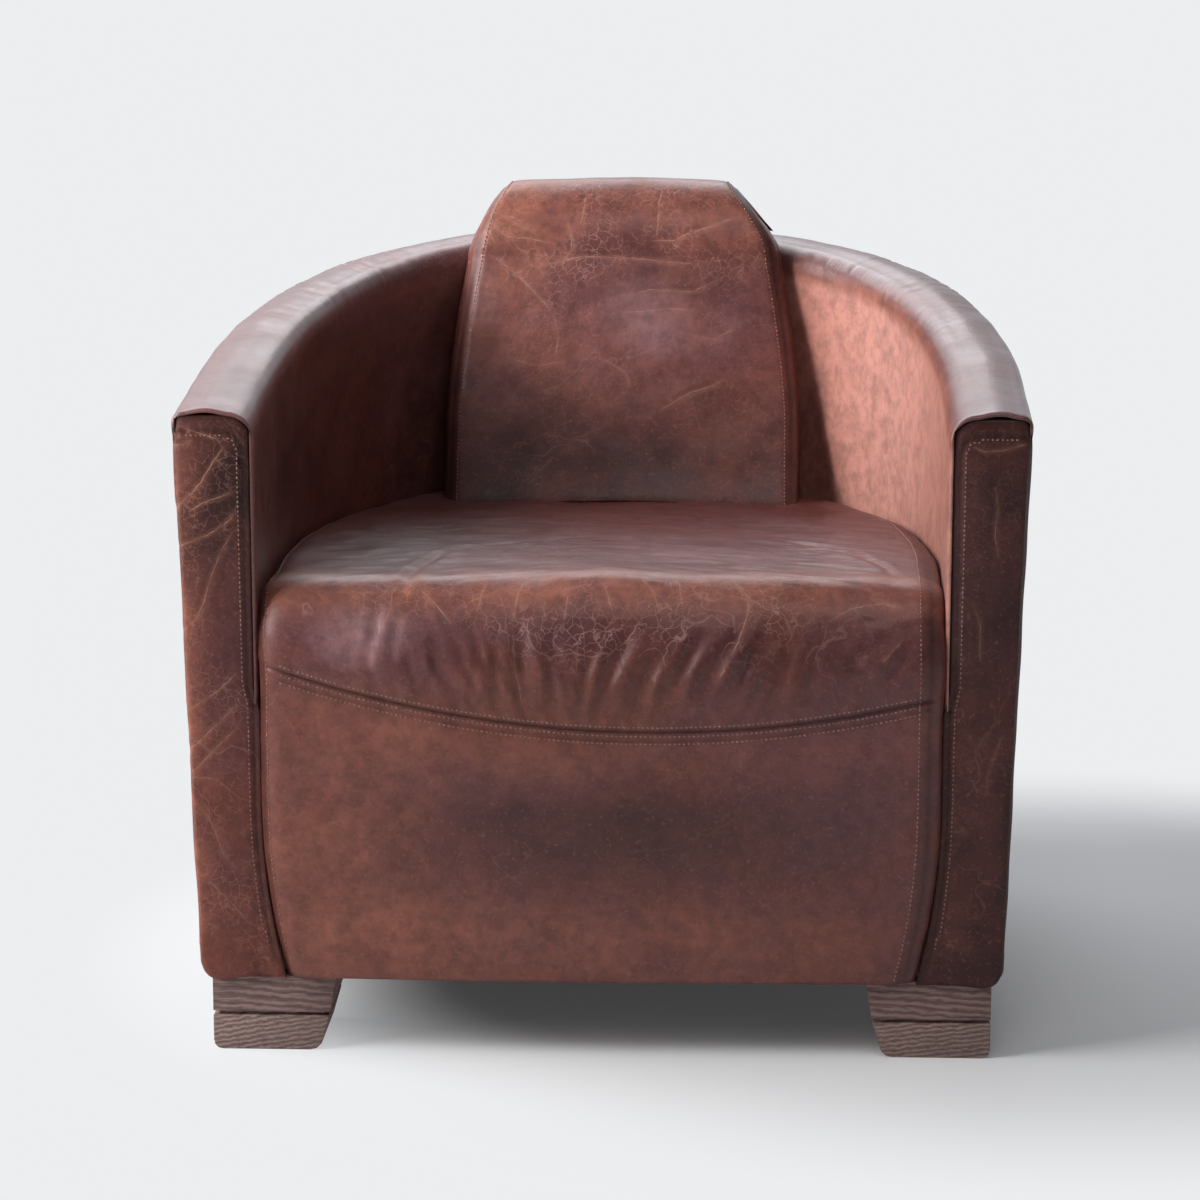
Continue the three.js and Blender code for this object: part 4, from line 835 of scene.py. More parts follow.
def seat_profile(spacing):
    """The seat's middle line from the back over the roll and down, with the way out at each point."""
    top_y = np.linspace(SEAT_REAR, SEAT_FRONT + ROLL_DEPTH, 400)
    fall = np.clip((top_y - top_y[-1]) / (SEAT_DECK - top_y[-1]), 0, 1)
    top_z = SEAT_TOP - SEAT_DROP * fall ** 2
    angle = np.linspace(0, math.pi / 2, 200)[1:]
    roll_y = SEAT_FRONT + ROLL_DEPTH * (1 - np.sin(angle))
    roll_z = SEAT_TOP - ROLL_DROP * (1 - np.cos(angle))
    down = np.linspace(0, 1, 300)[1:]
    apron_y = SEAT_FRONT + TUCK * down ** 3
    apron_z = (SEAT_TOP - ROLL_DROP) + (UNDERSIDE - SEAT_TOP + ROLL_DROP) * down
    y, z = np.concatenate([top_y, roll_y, apron_y]), np.concatenate([top_z, roll_z, apron_z])
    run = np.concatenate([[0], np.cumsum(np.hypot(np.diff(y), np.diff(z)))])
    even = np.linspace(0, run[-1], int(run[-1] / 3.0) + 1)
    y, z = np.interp(even, run, y), np.interp(even, run, z)
    weights = bell(np.arange(-10, 11), 5.0)
    softened = np.convolve(z, weights / weights.sum(), mode="same")
    z = np.where((y > SEAT_FRONT + 12) & (y < SEAT_FRONT + 130), softened, z)
    near_seam = (y < SEAT_FRONT + 30) & (z > SEAM_LOW - 20) & (z < SEAM_LOW + SEAM_RISE + 14)
    step = np.where(near_seam, 0.5 * spacing, np.where((z < SEAM_LOW) | (y > -150), 1.4 * spacing, spacing))
    rows_done = np.cumsum(3.0 / step)
    wanted = np.interp(np.linspace(rows_done[0], rows_done[-1], int(rows_done[-1])), rows_done, even)
    y, z = np.interp(wanted, even, y), np.interp(wanted, even, z)
    dy, dz = np.gradient(y), np.gradient(z)
    length = np.hypot(dy, dz)
    return y, z, dz / length, -dy / length


def space_half(y):
    """Half the seat space's width at a distance from the front."""
    fine = np.linspace(0, 1, 4000)
    x, line_y = plan_line(fine, SPACE_HALF, SPACE_BACK)
    return np.interp(-y, -line_y, x)


def rounded_row(half, edge, fall, crown, places, side_down):
    """Across a padded piece, from one side's foot round both edges to the other's, as x and depth."""
    flat = np.linspace(-1, 1, places)
    turn = np.linspace(0, math.pi / 2, 9)[1:]
    x = [flat * (half - edge)]
    depth = [crown * flat ** 2]
    right_x = half - edge + edge * np.sin(turn)
    right_d = crown + fall * (1 - np.cos(turn))
    down = np.linspace(0, 1, 9)[1:] * side_down
    right_x = np.concatenate([right_x, np.full(down.shape, half)])
    right_d = np.concatenate([right_d, crown + fall + down])
    return (np.concatenate([-right_x[::-1], x[0], right_x]),
            np.concatenate([right_d[::-1], depth[0], right_d]))


py, pz, way_y, way_z = seat_profile(3.0)
seat_rows = []
for k in range(len(py)):
    half = space_half(max(py[k], TUB_FRONT)) - 1.0 - belly(pz[k])
    x, depth = rounded_row(half, EDGE_WIDTH, EDGE_FALL, SEAT_CROWN, 176, GUSSET - EDGE_FALL)
    seat_rows.append(np.stack([x, py[k] - way_y[k] * depth, pz[k] - way_z[k] * depth], axis=1))
base = np.array(seat_rows)
out = facing_out(base, (0.0, 0.0, 1.0))
out *= np.sign(out[40, 100, 2])
x, y, z = base[:, :, 0], base[:, :, 1], base[:, :, 2]
column = np.arange(base.shape[1])[None, :] * np.ones(x.shape)
front = np.clip((-300 - y) / 30, 0, 1) * (z > 60)
seam_z = SEAM_LOW + SEAM_RISE * (x / 280) ** 2 + SEAM_TILT * x
above = z - seam_z
front_folds = [
    (2.0, 5.0, [(-205, 352), (-196, 396), (-190, 420)]),
    (1.2, 4.0, [(-185, 350), (-178, 389), (-160, 421)]),
    (1.0, 4.0, [(-148, 332), (-143, 375)]),
    (1.4, 4.5, [(-113, 322), (-106, 373)]),
    (1.6, 5.0, [(-88, 314), (-92, 372)]),
    (2.6, 6.0, [(-66, 308), (-70, 400)]),
    (2.2, 5.5, [(-42, 304), (-40, 386)]),
    (1.6, 5.0, [(-20, 302), (-8, 372)]),
    (3.2, 7.0, [(-2, 306), (12, 360), (30, 392)]),
    (2.4, 6.0, [(26, 308), (44, 350), (66, 382)]),
    (3.4, 7.5, [(52, 320), (72, 362), (98, 388)]),
    (2.6, 7.0, [(84, 330), (102, 366), (126, 388)]),
    (2.2, 7.0, [(116, 338), (134, 368), (152, 384)]),
    (1.6, 7.0, [(150, 346), (170, 372)]),
    (1.4, 5.0, [(214, 356), (236, 376)]),
    (2.8, 6.0, [(244, 342), (262, 364), (276, 376)]),
]
top_folds = [
    (1.6, 6.0, [(-190, -385), (-175, -363), (-169, -300), (-151, -229), (-127, -185), (-70, -150)]),
    (0.9, 5.0, [(-96, -255), (-82, -191), (-47, -134), (9, -121)]),
    (0.8, 5.0, [(120, -110), (163, -132), (225, -190), (260, -300)]),
    (0.7, 5.0, [(150, -119), (193, -156), (244, -254), (265, -336)]),
    (0.8, 6.0, [(-30, -40), (60, -60), (140, -30)]),
]
pull = 0.75 * folds(x, z, front_folds) * front * np.clip(above / 8, 0, 1) * (y < -330)
leaning = np.dstack([x - 0.4 * (z - 330) * np.sign(x + 20), z * 0.16, 0 * x])
gathered = np.clip((250 - np.abs(x - 10)) / 80, 0, 1) * bell(above - 42, 36) * front
pull += 2.3 * rumple(leaning, 17.0, 9.0, 3) * gathered
pull += 0.9 * rumple(np.dstack([x, 0 * x, z * 0.2]), 6.0, 11.0, 2) * bell(above - 7, 6) * front
streaks = rumple(np.dstack([x * 0.22, y + 0.25 * np.abs(x), 0 * x]), 12.0, 13.0, 3) * (z > 400)
pull += streaks * (0.5 + 0.7 * patch(x, y, (210, -170), (70, 130)))
laid = folds(x, y, top_folds) * (z > 395)
loose = 2.2 * rumple(base, 130.0, 2.0, 3) * (z > 395) + 1.2 * rumple(base, 90.0, 4.0, 2) * (z <= 395)
apron_ease = 3.0 * patch(x, z, (0, 190), (230, 90)) * front * (above < 0)
puffed = 2.5 * bell(above - 40, 34) * front
gusset_places = (10.5, base.shape[1] - 14.0)
gusset_dip = sum(bell(column - place, 0.9) for place in gusset_places)
seam_dip = bell(above, 2.0) * front * (np.abs(x) < 290)
edge_fade = np.clip(np.minimum(column, base.shape[1] - 1 - column) / 10, 0, 1)
tail = np.clip((z - UNDERSIDE) / 25, 0, 1)
lap_dip = bell(above + 7.2, 1.6) * front * (np.abs(x) < 290)
lift = (pull + laid + loose + apron_ease + puffed) * edge_fade * tail
lift = lift - 1.3 * gusset_dip - 2.4 * seam_dip - 0.8 * lap_dip
lift += 0.8 * front * np.clip(above / 2, 0, 1) * edge_fade
grid = base + out * lift[:, :, None]
grid[:, :, 1] = np.maximum(grid[:, :, 1], SEAT_FRONT - 8)
unfolded = run_lengths(grid)
crack_lines = [
    (1.0, [(-177, 426), (-183, 416), (-184, 402), (-194, 383)]),
    (0.9, [(-100, 426), (-105, 416), (-108, 400)]),
    (1.0, [(-67, 428), (-73, 416), (-76, 395)]),
    (0.8, [(-54, 417), (-46, 395)]),
    (0.8, [(-28, 417), (-32, 395)]),
    (0.9, [(-160, 421), (-145, 409), (-128, 391)]),
    (1.0, [(56, 430), (68, 425), (71, 413), (65, 404)]),
    (1.0, [(110, 429), (122, 422), (131, 412), (127, 397), (114, 366)]),
    (0.8, [(33, 429), (46, 419), (53, 400)]),
    (0.8, [(2, 425), (11, 404)]),
    (0.8, [(198, 396), (219, 407), (246, 411), (268, 406)]),
    (0.7, [(-76, 395), (-74, 360), (-66, 320)]),
    (0.7, [(114, 366), (104, 350)]),
    (0.8, [(262, 380), (244, 362)]),
]
top_lines = [
    (0.8, [(-175, -363), (-169, -300), (-151, -229), (-127, -185), (-99, -159)]),
    (0.7, [(163, -132), (235, -205), (267, -336)]),
    (0.7, [(150, -119), (193, -156), (244, -254), (265, -336)]),
    (0.8, [(118, -105), (150, -70)]),
    (0.6, [(-96, -255), (-82, -191), (-47, -134), (9, -121)]),
    (0.8, [(90, -247), (108, -307)]),
    (0.6, [(6, -29), (44, 9), (83, 23)]),
]
side_a, near_a = drawn_creases(x, z, crack_lines)
side_b, near_b = drawn_creases(x, y, top_lines)
near_a, near_b = near_a * front * (y < -315), near_b * (z > 400) * (y > -345)
fields = {
    "worn": np.clip(1.1 * patch(x, z, (-40, 405), (170, 34)) * front
                    + 0.8 * patch(x, z, (90, 400), (110, 30)) * front
                    + 0.35 * (z > 400) + 0.12, 0, 1),
    "tan": np.clip(0.8 * bell(z - 418, 16) * front + 0.55 * patch(x, z, (-230, 200), (70, 130)) * front
                   + 0.5 * patch(x, z, (-120, 110), (160, 40)) + 0.4 * patch(x, z, (130, 100), (130, 40))
                   + 0.3 * bell(above + 30, 26) * front, 0, 1),
    # Where these pass 1, at the roll's left end and on the top, they paint a pale pink highlight.
    "plum_and_highlight": 1.45 * patch(x, z, (-215, 378), (70, 44)) * front
            + 0.7 * patch(x, z, (-60, 400), (140, 40)) * front
            + 0.6 * patch(x, z, (220, 230), (70, 90)) * front
            + 0.5 * patch(x, z, (-60, 250), (120, 30)) * front
            + (0.5 + 0.7 * patch(x, y, (90, -230), (190, 90))) * (z > 415),
    # The patch on the top's left is a painted shadow of the left arm; the patches on the apron and roll
    # darken the hide's tone.
    "smoke_and_shade": np.clip(0.95 * patch(x, z, (60, 205), (135, 48)) * front
                     + 0.7 * patch(x, z, (-60, 215), (90, 40)) * front
                     + 0.7 * patch(x, y, (-170, -140), (120, 130)) * (z > 405)
                     + 0.45 * patch(x, z, (110, 365), (190, 40)) * front, 0, 1),
    # The seam's own line is the dark joint; the groove just below it is darkened a little as painted shade.
    "seam": np.clip(bell(above, 1.3) * front * (np.abs(x) < 285) + 0.3 * lap_dip + 0.7 * gusset_dip, 0, 1),
    "ripple": 0.2 * (z > 400) + 0.25 * bell(above - 4, 5) * front,
    "crease_side": np.where(near_a > near_b, side_a, side_b), "crease_near": np.maximum(near_a, near_b),
}
closing_rows = []
for share in (0.9, 0.45, -0.45, -0.9):
    cy = py - way_y * (GUSSET + 12)
    cz = pz - way_z * (GUSSET + 12)
    closing_rows.append(np.stack([share * np.abs(base[:, 0, 0]), cy, cz], axis=1))
closing = np.stack(closing_rows, axis=1)
seat_surface = grid
seat = skin("seat", grid, unfolded, fields, closing)
hide_ready(seat, hide_finish("hide_seat", 4.4, 0.38, 0.08),
           ["seat_top_cover", "front_apron_cover", "seat_gusset_left", "seat_gusset_right", "seat_foam"])

# Back pad: a tapered pad stands on the seat, leans on the tub and rolls over the rim. Its face hide
# is topstitched to a gusset each side, which goes back to the tub's wall.
PAD_FOOT = 420.5
PAD_ROLL = 664.0
PAD_TOP = 739.0
RIM_TOP = 681.0
# The face starts here and leans back by PAD_LEAN, and the roll goes over its crest to the rear.
PAD_FRONT = 131.0
PAD_LEAN = 97.0
PAD_CREST = 300.0
PAD_REAR = 386.0


def pad_half(z):
    """Half the pad's width, which tapers up the face and further over the roll."""
    high = 161 + (127 - 161) * (np.clip(z - 660, 0, 79) / 79) ** 1.6
    low = 182 + (161 - 182) * (np.clip(z - 500, 0, 160) / 160) ** 1.5
    return np.where(z > 660, high, low)


def pad_profile(spacing):
    up = np.linspace(0, 1, 400)
    face_y, face_z = PAD_FRONT + PAD_LEAN * up ** 0.75, PAD_FOOT + (PAD_ROLL - PAD_FOOT) * up
    angle = np.linspace(0, math.pi / 2, 200)[1:]
    reach = PAD_CREST - PAD_FRONT - PAD_LEAN
    roll_y, roll_z = PAD_CREST - reach * np.cos(angle), PAD_ROLL + (PAD_TOP - PAD_ROLL) * np.sin(angle)
    back_y = PAD_CREST + (PAD_REAR - PAD_CREST) * np.sin(angle)
    back_z = RIM_TOP + (PAD_TOP - RIM_TOP) * np.cos(angle)
    y, z = np.concatenate([face_y, roll_y, back_y]), np.concatenate([face_z, roll_z, back_z])
    run = np.concatenate([[0], np.cumsum(np.hypot(np.diff(y), np.diff(z)))])
    wanted = np.linspace(0, run[-1], int(run[-1] / spacing) + 1)
    y, z = np.interp(wanted, run, y), np.interp(wanted, run, z)
    dy, dz = np.gradient(y), np.gradient(z)
    length = np.hypot(dy, dz)
    return y, z, -dz / length, dy / length, wanted, run[399]


def space_depth(x):
    fine = np.linspace(0, 1, 4000)
    line_x, line_y = plan_line(fine, SPACE_HALF, SPACE_BACK)
    return np.interp(np.abs(x), line_x, line_y)


def outer_depth(x):
    fine = np.linspace(0, 1, 4000)
    line_x, line_y = plan_line(fine, TUB_HALF, TUB_BACK)
    return np.interp(np.abs(x), line_x, line_y)


py, pz, way_y, way_z, pad_run, run_face = pad_profile(2.6)
pad_rows = []
for k in range(len(py)):
    half = float(pad_half(np.array(pz[k])))
    crown = 8.0 - 5.5 * min(1.0, max(0.0, (pz[k] - 620) / 100))
    x, depth = rounded_row(half, 22.0, 18.0, crown, 116, 0.0)
    x, depth = x[8:-8], depth[8:-8]
    x = x - 6.0 * min(1.0, max(0.0, (pz[k] - 680) / 50))
    row = np.stack([x, py[k] - way_y[k] * depth, pz[k] - way_z[k] * depth], axis=1)
    past = np.clip((pad_run[k] - run_face) / (pad_run[-1] - run_face), 0, 1)
    foot_z = pz[k] if past == 0 else PAD_ROLL + (RIM_TOP - PAD_ROLL) * min(1, past * 4)
    foot_half = float(pad_half(np.array(foot_z))) - 16 * past
    wall_y = float(space_depth(np.array(foot_half))) - 2.0
    foot_y = wall_y + (PAD_REAR - wall_y) * past
    sides = []
    for sign, edge in ((-1, row[0]), (1, row[-1])):
        foot = np.array([sign * foot_half, foot_y, foot_z])
        share = np.linspace(0, 1, 13)[1:, None]
        line = edge + (foot - edge) * share
        line[:, 0] += sign * 3.0 * np.sin(np.pi * share[:, 0])
        sides.append(line)
    pad_rows.append(np.concatenate([sides[0][::-1], row, sides[1]]))
base = np.array(pad_rows)
behind = np.clip(base[:, :, 1] - PAD_CREST, 0, None) / (PAD_REAR - PAD_CREST)
base[:, :, 1] -= behind * (TUB_BACK - outer_depth(base[:, :, 0]))
out = facing_out(base, (0.0, -1.0, 0.0))
out *= -np.sign(out[30, 70, 1])
x, y, z = base[:, :, 0], base[:, :, 1], base[:, :, 2]
column = np.arange(base.shape[1])[None, :] * np.ones(x.shape)
pad_lines = [
    (1.0, [(-136, 707), (-118, 699), (-98, 687)]),
    (0.8, [(-142, 692), (-134, 674)]),
    (1.0, [(-141, 694), (-120, 682), (-98, 681), (-73, 675)]),
    (1.0, [(-143, 665), (-127, 656), (-107, 640), (-92, 626), (-72, 605)]),
    (0.9, [(-95, 652), (-81, 653), (-63, 658), (-44, 662), (-19, 662), (20, 660), (57, 656), (88, 655)]),
    (1.0, [(27, 679), (52, 679), (64, 685), (86, 692), (103, 698), (125, 703)]),
    (1.0, [(41, 729), (36, 717), (36, 703), (34, 681)]),
    (0.7, [(-39, 726), (-41, 712), (-45, 693)]),
    (0.7, [(-59, 699), (-54, 681), (-54, 669), (-61, 659)]),
    (0.7, [(-9, 621), (8, 624), (28, 629), (52, 628), (72, 627), (89, 635), (106, 642)]),
    (0.6, [(-9, 606), (21, 607), (47, 610), (77, 608)]),
    (0.6, [(116, 590), (94, 579), (70, 584)]),
    (0.6, [(111, 542), (94, 533), (70, 526), (36, 506)]),
    (0.5, [(-72, 605), (-66, 580), (-70, 560)]),
    (0.5, [(-120, 560), (-90, 552), (-60, 556)]),
    (0.5, [(-20, 560), (4, 545), (10, 530)]),
]
edge_fade = np.clip(np.minimum(column, base.shape[1] - 1 - column) - 14, 0, 12) / 12
loose = 2.0 * rumple(base, 120.0, 6.0, 3) + 3.0 * patch(x, z, (0, 590), (120, 120))
pad_folds = folds(x, z, [(0.5 * strength, 3.0, line) for strength, line in pad_lines])
lift = loose * edge_fade + pad_folds * (y < 310)
places = (16.0, base.shape[1] - 17.0)
dip = sum(bell(column - place, 0.9) for place in places)
grid = base + out * (lift - 1.3 * dip)[:, :, None]
unfolded = run_lengths(grid)
side_mm, near = drawn_creases(x, z, pad_lines)
near = near * (y < 312)
fields = {
    "worn": np.clip(0.9 * patch(x, z, (-40, 690), (110, 60))
                    + 0.8 * patch(x, z, (60, 680), (100, 60)) + 0.25, 0, 1),
    "tan": np.clip(0.8 * patch(x, z, (-110, 700), (60, 50))
                   + 0.5 * patch(x, z, (80, 690), (70, 50)) + 0.2, 0, 1),
    # Where these pass 1, at the face's middle and in the narrow strip at the right side, they paint a pale
    # pink highlight.
    "plum_and_highlight": 1.15 * patch(x, z, (20, 620), (80, 60)) + 0.8 * patch(x, z, (60, 560), (110, 60))
            + 0.5 * patch(x, z, (118, 610), (24, 70)),
    # Painted shade: the pad is darkened toward its foot, where it stands on the seat.
    "smoke_and_shade": 0.35 * patch(x, z, (40, 640), (60, 40)) + 1.0 * np.clip((555 - z) / 90, 0, 1),
    "seam": 0.8 * dip,
    "ripple": 0.15 * np.ones(x.shape),
    "crease_side": side_mm, "crease_near": near,
}
closing = np.stack([
    base[:, -1] + np.array([-4.0, -1.0, -0.5]), base[:, 0] + np.array([4.0, -1.0, -0.5])], axis=1)
pad_surface = grid
pad = skin("back_pad", grid, unfolded, fields, closing)
hide_ready(pad, hide_finish("hide_pad", 2.6, 0.38, 0.08),
           ["back_pad_cover", "back_pad_gusset_left", "back_pad_gusset_right", "back_pad_foam"])

# Dust cover: a sheet of black nonwoven cloth stapled inside the hides that wrap under the rails.
# It is stretched flat, and sags a little between them.
sheet_rings, sheet_points = 14, 96
station = np.linspace(0, 1, sheet_points // 2 + 1)
line_x, line_y = plan_line(station, TUB_HALF - 15 - 46.3, TUB_BACK - 15 - 46.3)
line_y = np.maximum(line_y, -350.5)
outline = np.concatenate([np.stack([line_x, line_y], axis=1), np.stack([-line_x, line_y], axis=1)[::-1][:-1]])
points, faces = [(0.0, 0.0, UNDERSIDE - 2.4)], []
for ring in range(1, sheet_rings + 1):
    share = ring / sheet_rings
    for p in outline:
        sag = 3.0 * (1 - share ** 2) * (0.8 + 0.2 * noise.noise(Vector((p[0] / 90, p[1] / 90, share * 4))))
        points.append((p[0] * share, p[1] * share, UNDERSIDE + 0.6 - sag))
count = len(outline)
for k in range(count):
    faces.append((0, 1 + k, 1 + (k + 1) % count))
    for ring in range(sheet_rings - 1):
        a, b = 1 + ring * count + k, 1 + ring * count + (k + 1) % count
        faces.append((a, a + count, b + count, b))
data = bpy.data.meshes.new("dust_sheet")
data.from_pydata([tuple(value * MM for value in p) for p in points], [], faces)
data.shade_smooth()
dust_sheet = bpy.data.objects.new("dust_sheet", data)
bpy.context.scene.collection.objects.link(dust_sheet)
cloth = dust_sheet.modifiers.new("cloth", "SOLIDIFY")
cloth.thickness = 0.0006
data.materials.append(speckled("black_cambric", paint(30, 30, 31), paint(46, 45, 45), 700.0, 1.0, 0.0003))
dust_sheet = as_plain_mesh(dust_sheet)
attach(dust_sheet, "root")
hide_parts("dust_cover")

# Stitches: waxed thread, one short stitch every 4 mm, in rows beside the seams of seat, pad and arms.
# The rows beside the front seam are given as heights over it.
STITCH_PITCH = 4.2
SEAM_ROWS = (4.6, -3.6, -10.4)
stitch_tree, stitch_in, stitch_out = new_group(
    "stitch_rows", "GeometryNodeTree",
    [("Geometry", "NodeSocketGeometry", None), ("Pitch", "NodeSocketFloat", STITCH_PITCH * MM),
     ("Length", "NodeSocketFloat", 0.0013), ("Thread", "NodeSocketFloat", 0.0008),
     ("Finish", "NodeSocketMaterial", None)],
    [("Geometry", "NodeSocketGeometry")],
)
paths = add_node(stitch_tree, "GeometryNodeMeshToCurve", {"Mesh": stitch_in["Geometry"]})
places = add_node(stitch_tree, "GeometryNodeCurveToPoints", {
    "Curve": paths.outputs["Curve"], "Length": stitch_in["Pitch"]}, mode="LENGTH")
thread = add_node(stitch_tree, "GeometryNodeMeshUVSphere", {"Segments": 8, "Rings": 5, "Radius": 1.0})
size = add_node(stitch_tree, "ShaderNodeCombineXYZ", {
    "X": stitch_in["Thread"], "Y": stitch_in["Thread"], "Z": stitch_in["Length"]})
lean = add_node(stitch_tree, "FunctionNodeRandomValue", {"Seed": 7}, data_type="FLOAT")
lean.inputs[2].default_value = 0.8
lean.inputs[3].default_value = 1.15
scaled = add_node(
    stitch_tree, "ShaderNodeVectorMath", {0: size.outputs[0], 3: lean.outputs[1]}, operation="SCALE")
row = add_node(stitch_tree, "GeometryNodeInstanceOnPoints", {
    "Points": places.outputs["Points"], "Instance": thread.outputs["Mesh"],
    "Rotation": places.outputs["Rotation"], "Scale": scaled.outputs[0]})
real = add_node(stitch_tree, "GeometryNodeRealizeInstances", {"Geometry": row.outputs["Instances"]})
coloured = add_node(stitch_tree, "GeometryNodeSetMaterial", {
    "Geometry": real.outputs["Geometry"], "Material": stitch_in["Finish"]})
stitch_tree.links.new(coloured.outputs["Geometry"], stitch_out["Geometry"])

waxed_thread = speckled("waxed_thread", paint(150, 112, 98), paint(92, 62, 54), 900.0, 0.6, 0.0001)


def sew(name, rows):
    """Stitches along rows of points, given in millimetres."""
    points, edges = [], []
    for line in rows:
        first = len(points)
        points += [tuple(value * MM for value in p) for p in line]
        edges += [(first + k, first + k + 1) for k in range(len(line) - 1)]
    data = bpy.data.meshes.new(name)
    data.from_pydata(points, edges, [])
    made = bpy.data.objects.new(name, data)
    bpy.context.scene.collection.objects.link(made)
    sewn = made.modifiers.new("stitches", "NODES")
    sewn.node_group = stitch_tree
    inputs = [item for item in stitch_tree.interface.items_tree if item.in_out == "INPUT"]
    sockets = {item.name: item.identifier for item in inputs}
    sewn[sockets["Pitch"]] = STITCH_PITCH * MM
    sewn[sockets["Finish"]] = waxed_thread
    made = as_plain_mesh(made)
    made.data.shade_smooth()
    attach(made, "root")
    return made


def on_surface(surface, wanted, columns):
    """Points on a hide's surface where a field, such as the distance to a seam, has a wanted value."""
    line = []
    for c in columns:
        values = wanted[:, c]
        for r in range(len(values) - 1):
            if values[r] * values[r + 1] <= 0 and values[r] != values[r + 1]:
                share = values[r] / (values[r] - values[r + 1])
                line.append(surface[r, c] * (1 - share) + surface[r + 1, c] * share)
                break
    return line


sx, sz = seat_surface[:, :, 0], seat_surface[:, :, 2]
seam_line = SEAM_LOW + SEAM_RISE * (sx / 280) ** 2 + SEAM_TILT * sx
columns = range(15, seat_surface.shape[1] - 15)
seat_rows = []
for offset in SEAM_ROWS:
    field = np.where(seat_surface[:, :, 1] < -335, sz - seam_line - offset, 50.0)
    seat_rows.append(on_surface(seat_surface, field, columns))
for column_at in (12, seat_surface.shape[1] - 16):
    rows_here = np.where(seat_surface[:, column_at, 1] < 120)[0]
    seat_rows.append([seat_surface[r, column_at] for r in rows_here[::2]])
sew("seat_stitches", seat_rows)

for arm in facing_seams:
    sew(f"facing_stitches_{arm}", facing_seams[arm])

pad_rows = []
for column_at in (18, pad_surface.shape[1] - 19):
    pad_rows.append([pad_surface[r, column_at] for r in range(2, int(pad_surface.shape[0] * 0.97), 2)])
sew("pad_stitches", pad_rows)

# Room: a plain pale floor and background. Soft light falls from the left and from above, so the
# chair's shadow lies to the right.
BACKDROP = paint(236, 238, 240)
floor_data = bpy.data.meshes.new("floor")
reach = 30.0
floor_corners = [(-reach, -reach, 0), (reach, -reach, 0), (reach, reach, 0), (-reach, reach, 0)]
floor_data.from_pydata(floor_corners, [], [(0, 1, 2, 3)])
floor = bpy.data.objects.new("floor", floor_data)
bpy.context.scene.collection.objects.link(floor)
floor_finish = bpy.data.materials.new("pale_floor")
floor_finish.use_nodes = True
tree = floor_finish.node_tree
tree.nodes.clear()
plain = add_node(tree, "ShaderNodeBsdfDiffuse", {"Color": (0.86, 0.87, 0.88, 1.0)})
flat_light = add_node(tree, "ShaderNodeEmission", {"Color": BACKDROP, "Strength": 1.0})
where = add_node(tree, "ShaderNodeTexCoord").outputs["Object"]
squeezed = add_node(tree, "ShaderNodeVectorMath", {0: where, 1: (1.0, 1.2, 1.0)}, operation="MULTIPLY")
far = add_node(tree, "ShaderNodeVectorMath", {
    0: squeezed.outputs[0], 1: (0.36, 0.0, 0.0)}, operation="DISTANCE").outputs["Value"]
rays = add_node(tree, "ShaderNodeLightPath").outputs
seen = reckon(tree, "MAXIMUM", rays["Is Camera Ray"], reckon(
    tree, "MAXIMUM", rays["Is Glossy Ray"], rays["Is Transmission Ray"]))
share = reckon(tree, "MULTIPLY", between(tree, far, 0.54, 0.92, 0.05), seen)
mixed = add_node(tree, "ShaderNodeMixShader", {0: share, 1: plain.outputs[0], 2: flat_light.outputs[0]})
tree.links.new(mixed.outputs[0], add_node(tree, "ShaderNodeOutputMaterial").inputs["Surface"])
floor_data.materials.append(floor_finish)

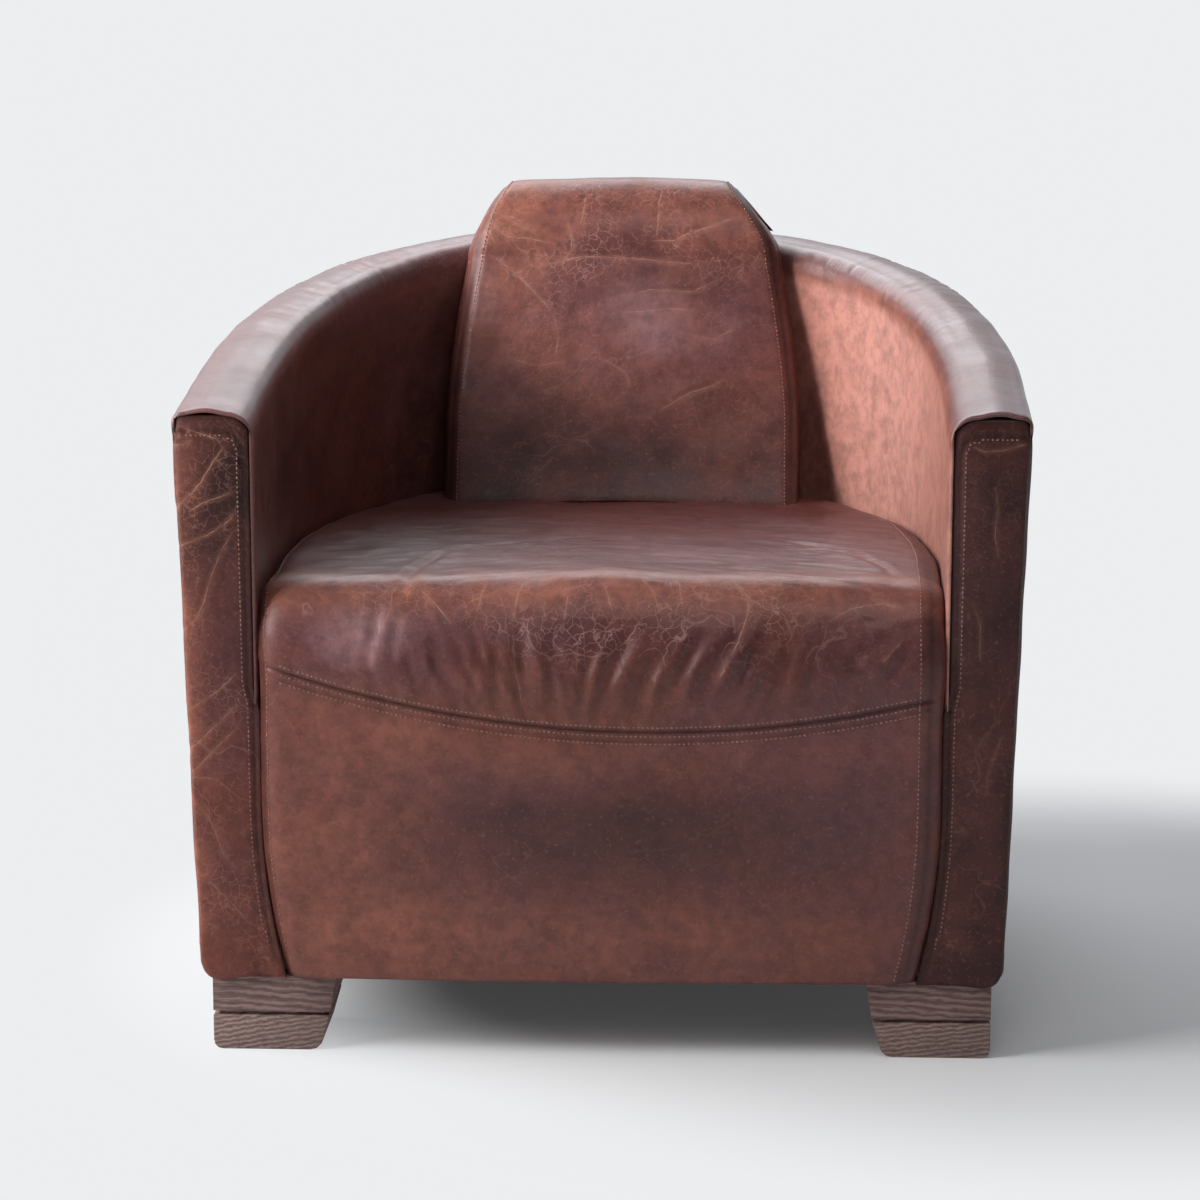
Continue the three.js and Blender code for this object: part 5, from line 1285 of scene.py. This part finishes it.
world = bpy.data.worlds.new("room")
bpy.context.scene.world = world
world.use_nodes = True
tree = world.node_tree
tree.nodes.clear()
heading = add_node(tree, "ShaderNodeSeparateXYZ", {
    0: add_node(tree, "ShaderNodeTexCoord").outputs["Generated"]})
rays = add_node(tree, "ShaderNodeLightPath").outputs
bright_rear = reckon(
    tree, "MULTIPLY", between(tree, heading.outputs["Y"], 0.1, 0.8, 0.0, 0.82), rays["Is Glossy Ray"])
around = add_node(tree, "ShaderNodeBackground", {
    "Color": (0.84, 0.87, 0.92, 1.0), "Strength": reckon(tree, "ADD", bright_rear, 0.12)})
behind = add_node(tree, "ShaderNodeBackground", {"Color": BACKDROP, "Strength": 1.0})
seen = reckon(tree, "MAXIMUM", rays["Is Camera Ray"], rays["Is Transmission Ray"])
mixed = add_node(tree, "ShaderNodeMixShader", {0: seen, 1: around.outputs[0], 2: behind.outputs[0]})
tree.links.new(mixed.outputs[0], add_node(tree, "ShaderNodeOutputWorld").inputs["Surface"])


def soft_lamp(name, place, target, width, height, power, colour, spread=180.0):
    light = bpy.data.lights.new(name, "AREA")
    light.shape = "RECTANGLE"
    light.size, light.size_y, light.energy, light.color = width, height, power, colour
    light.spread = math.radians(spread)
    made = bpy.data.objects.new(name, light)
    made.location = place
    made.rotation_euler = (Vector(target) - Vector(place)).to_track_quat("-Z", "Y").to_euler()
    bpy.context.scene.collection.objects.link(made)


soft_lamp("window", (-2.3, -0.62, 1.75), (0.15, 0.0, 0.5), 2.4, 1.9, 116.0, (1.0, 0.985, 0.98))
soft_lamp("skylight", (-0.8, 2.2, 2.6), (0.0, 0.0, 0.45), 3.0, 1.4, 50.0, (0.94, 0.97, 1.0))
soft_lamp("side_window", (-1.9, -1.3, 1.3), (0.22, 0.30, 0.54), 0.7, 0.7, 0.8, (1.0, 0.985, 0.98), 15.0)
soft_lamp("overhead", (0.5, -1.6, 3.0), (0.0, 0.1, 0.55), 1.6, 1.4, 17.0, (0.97, 0.98, 1.0))

lens = bpy.data.cameras.new("camera")
lens.lens, lens.sensor_width = 98.13, 36.0
camera = bpy.data.objects.new("camera", lens)
camera.location = (0.1124, -3.1727, 0.95)
camera.rotation_euler = (math.radians(90 - 10.8223), 0.0, math.radians(2.3))
bpy.context.scene.collection.objects.link(camera)
bpy.context.scene.camera = camera
bpy.context.scene.view_settings.view_transform = "Standard"
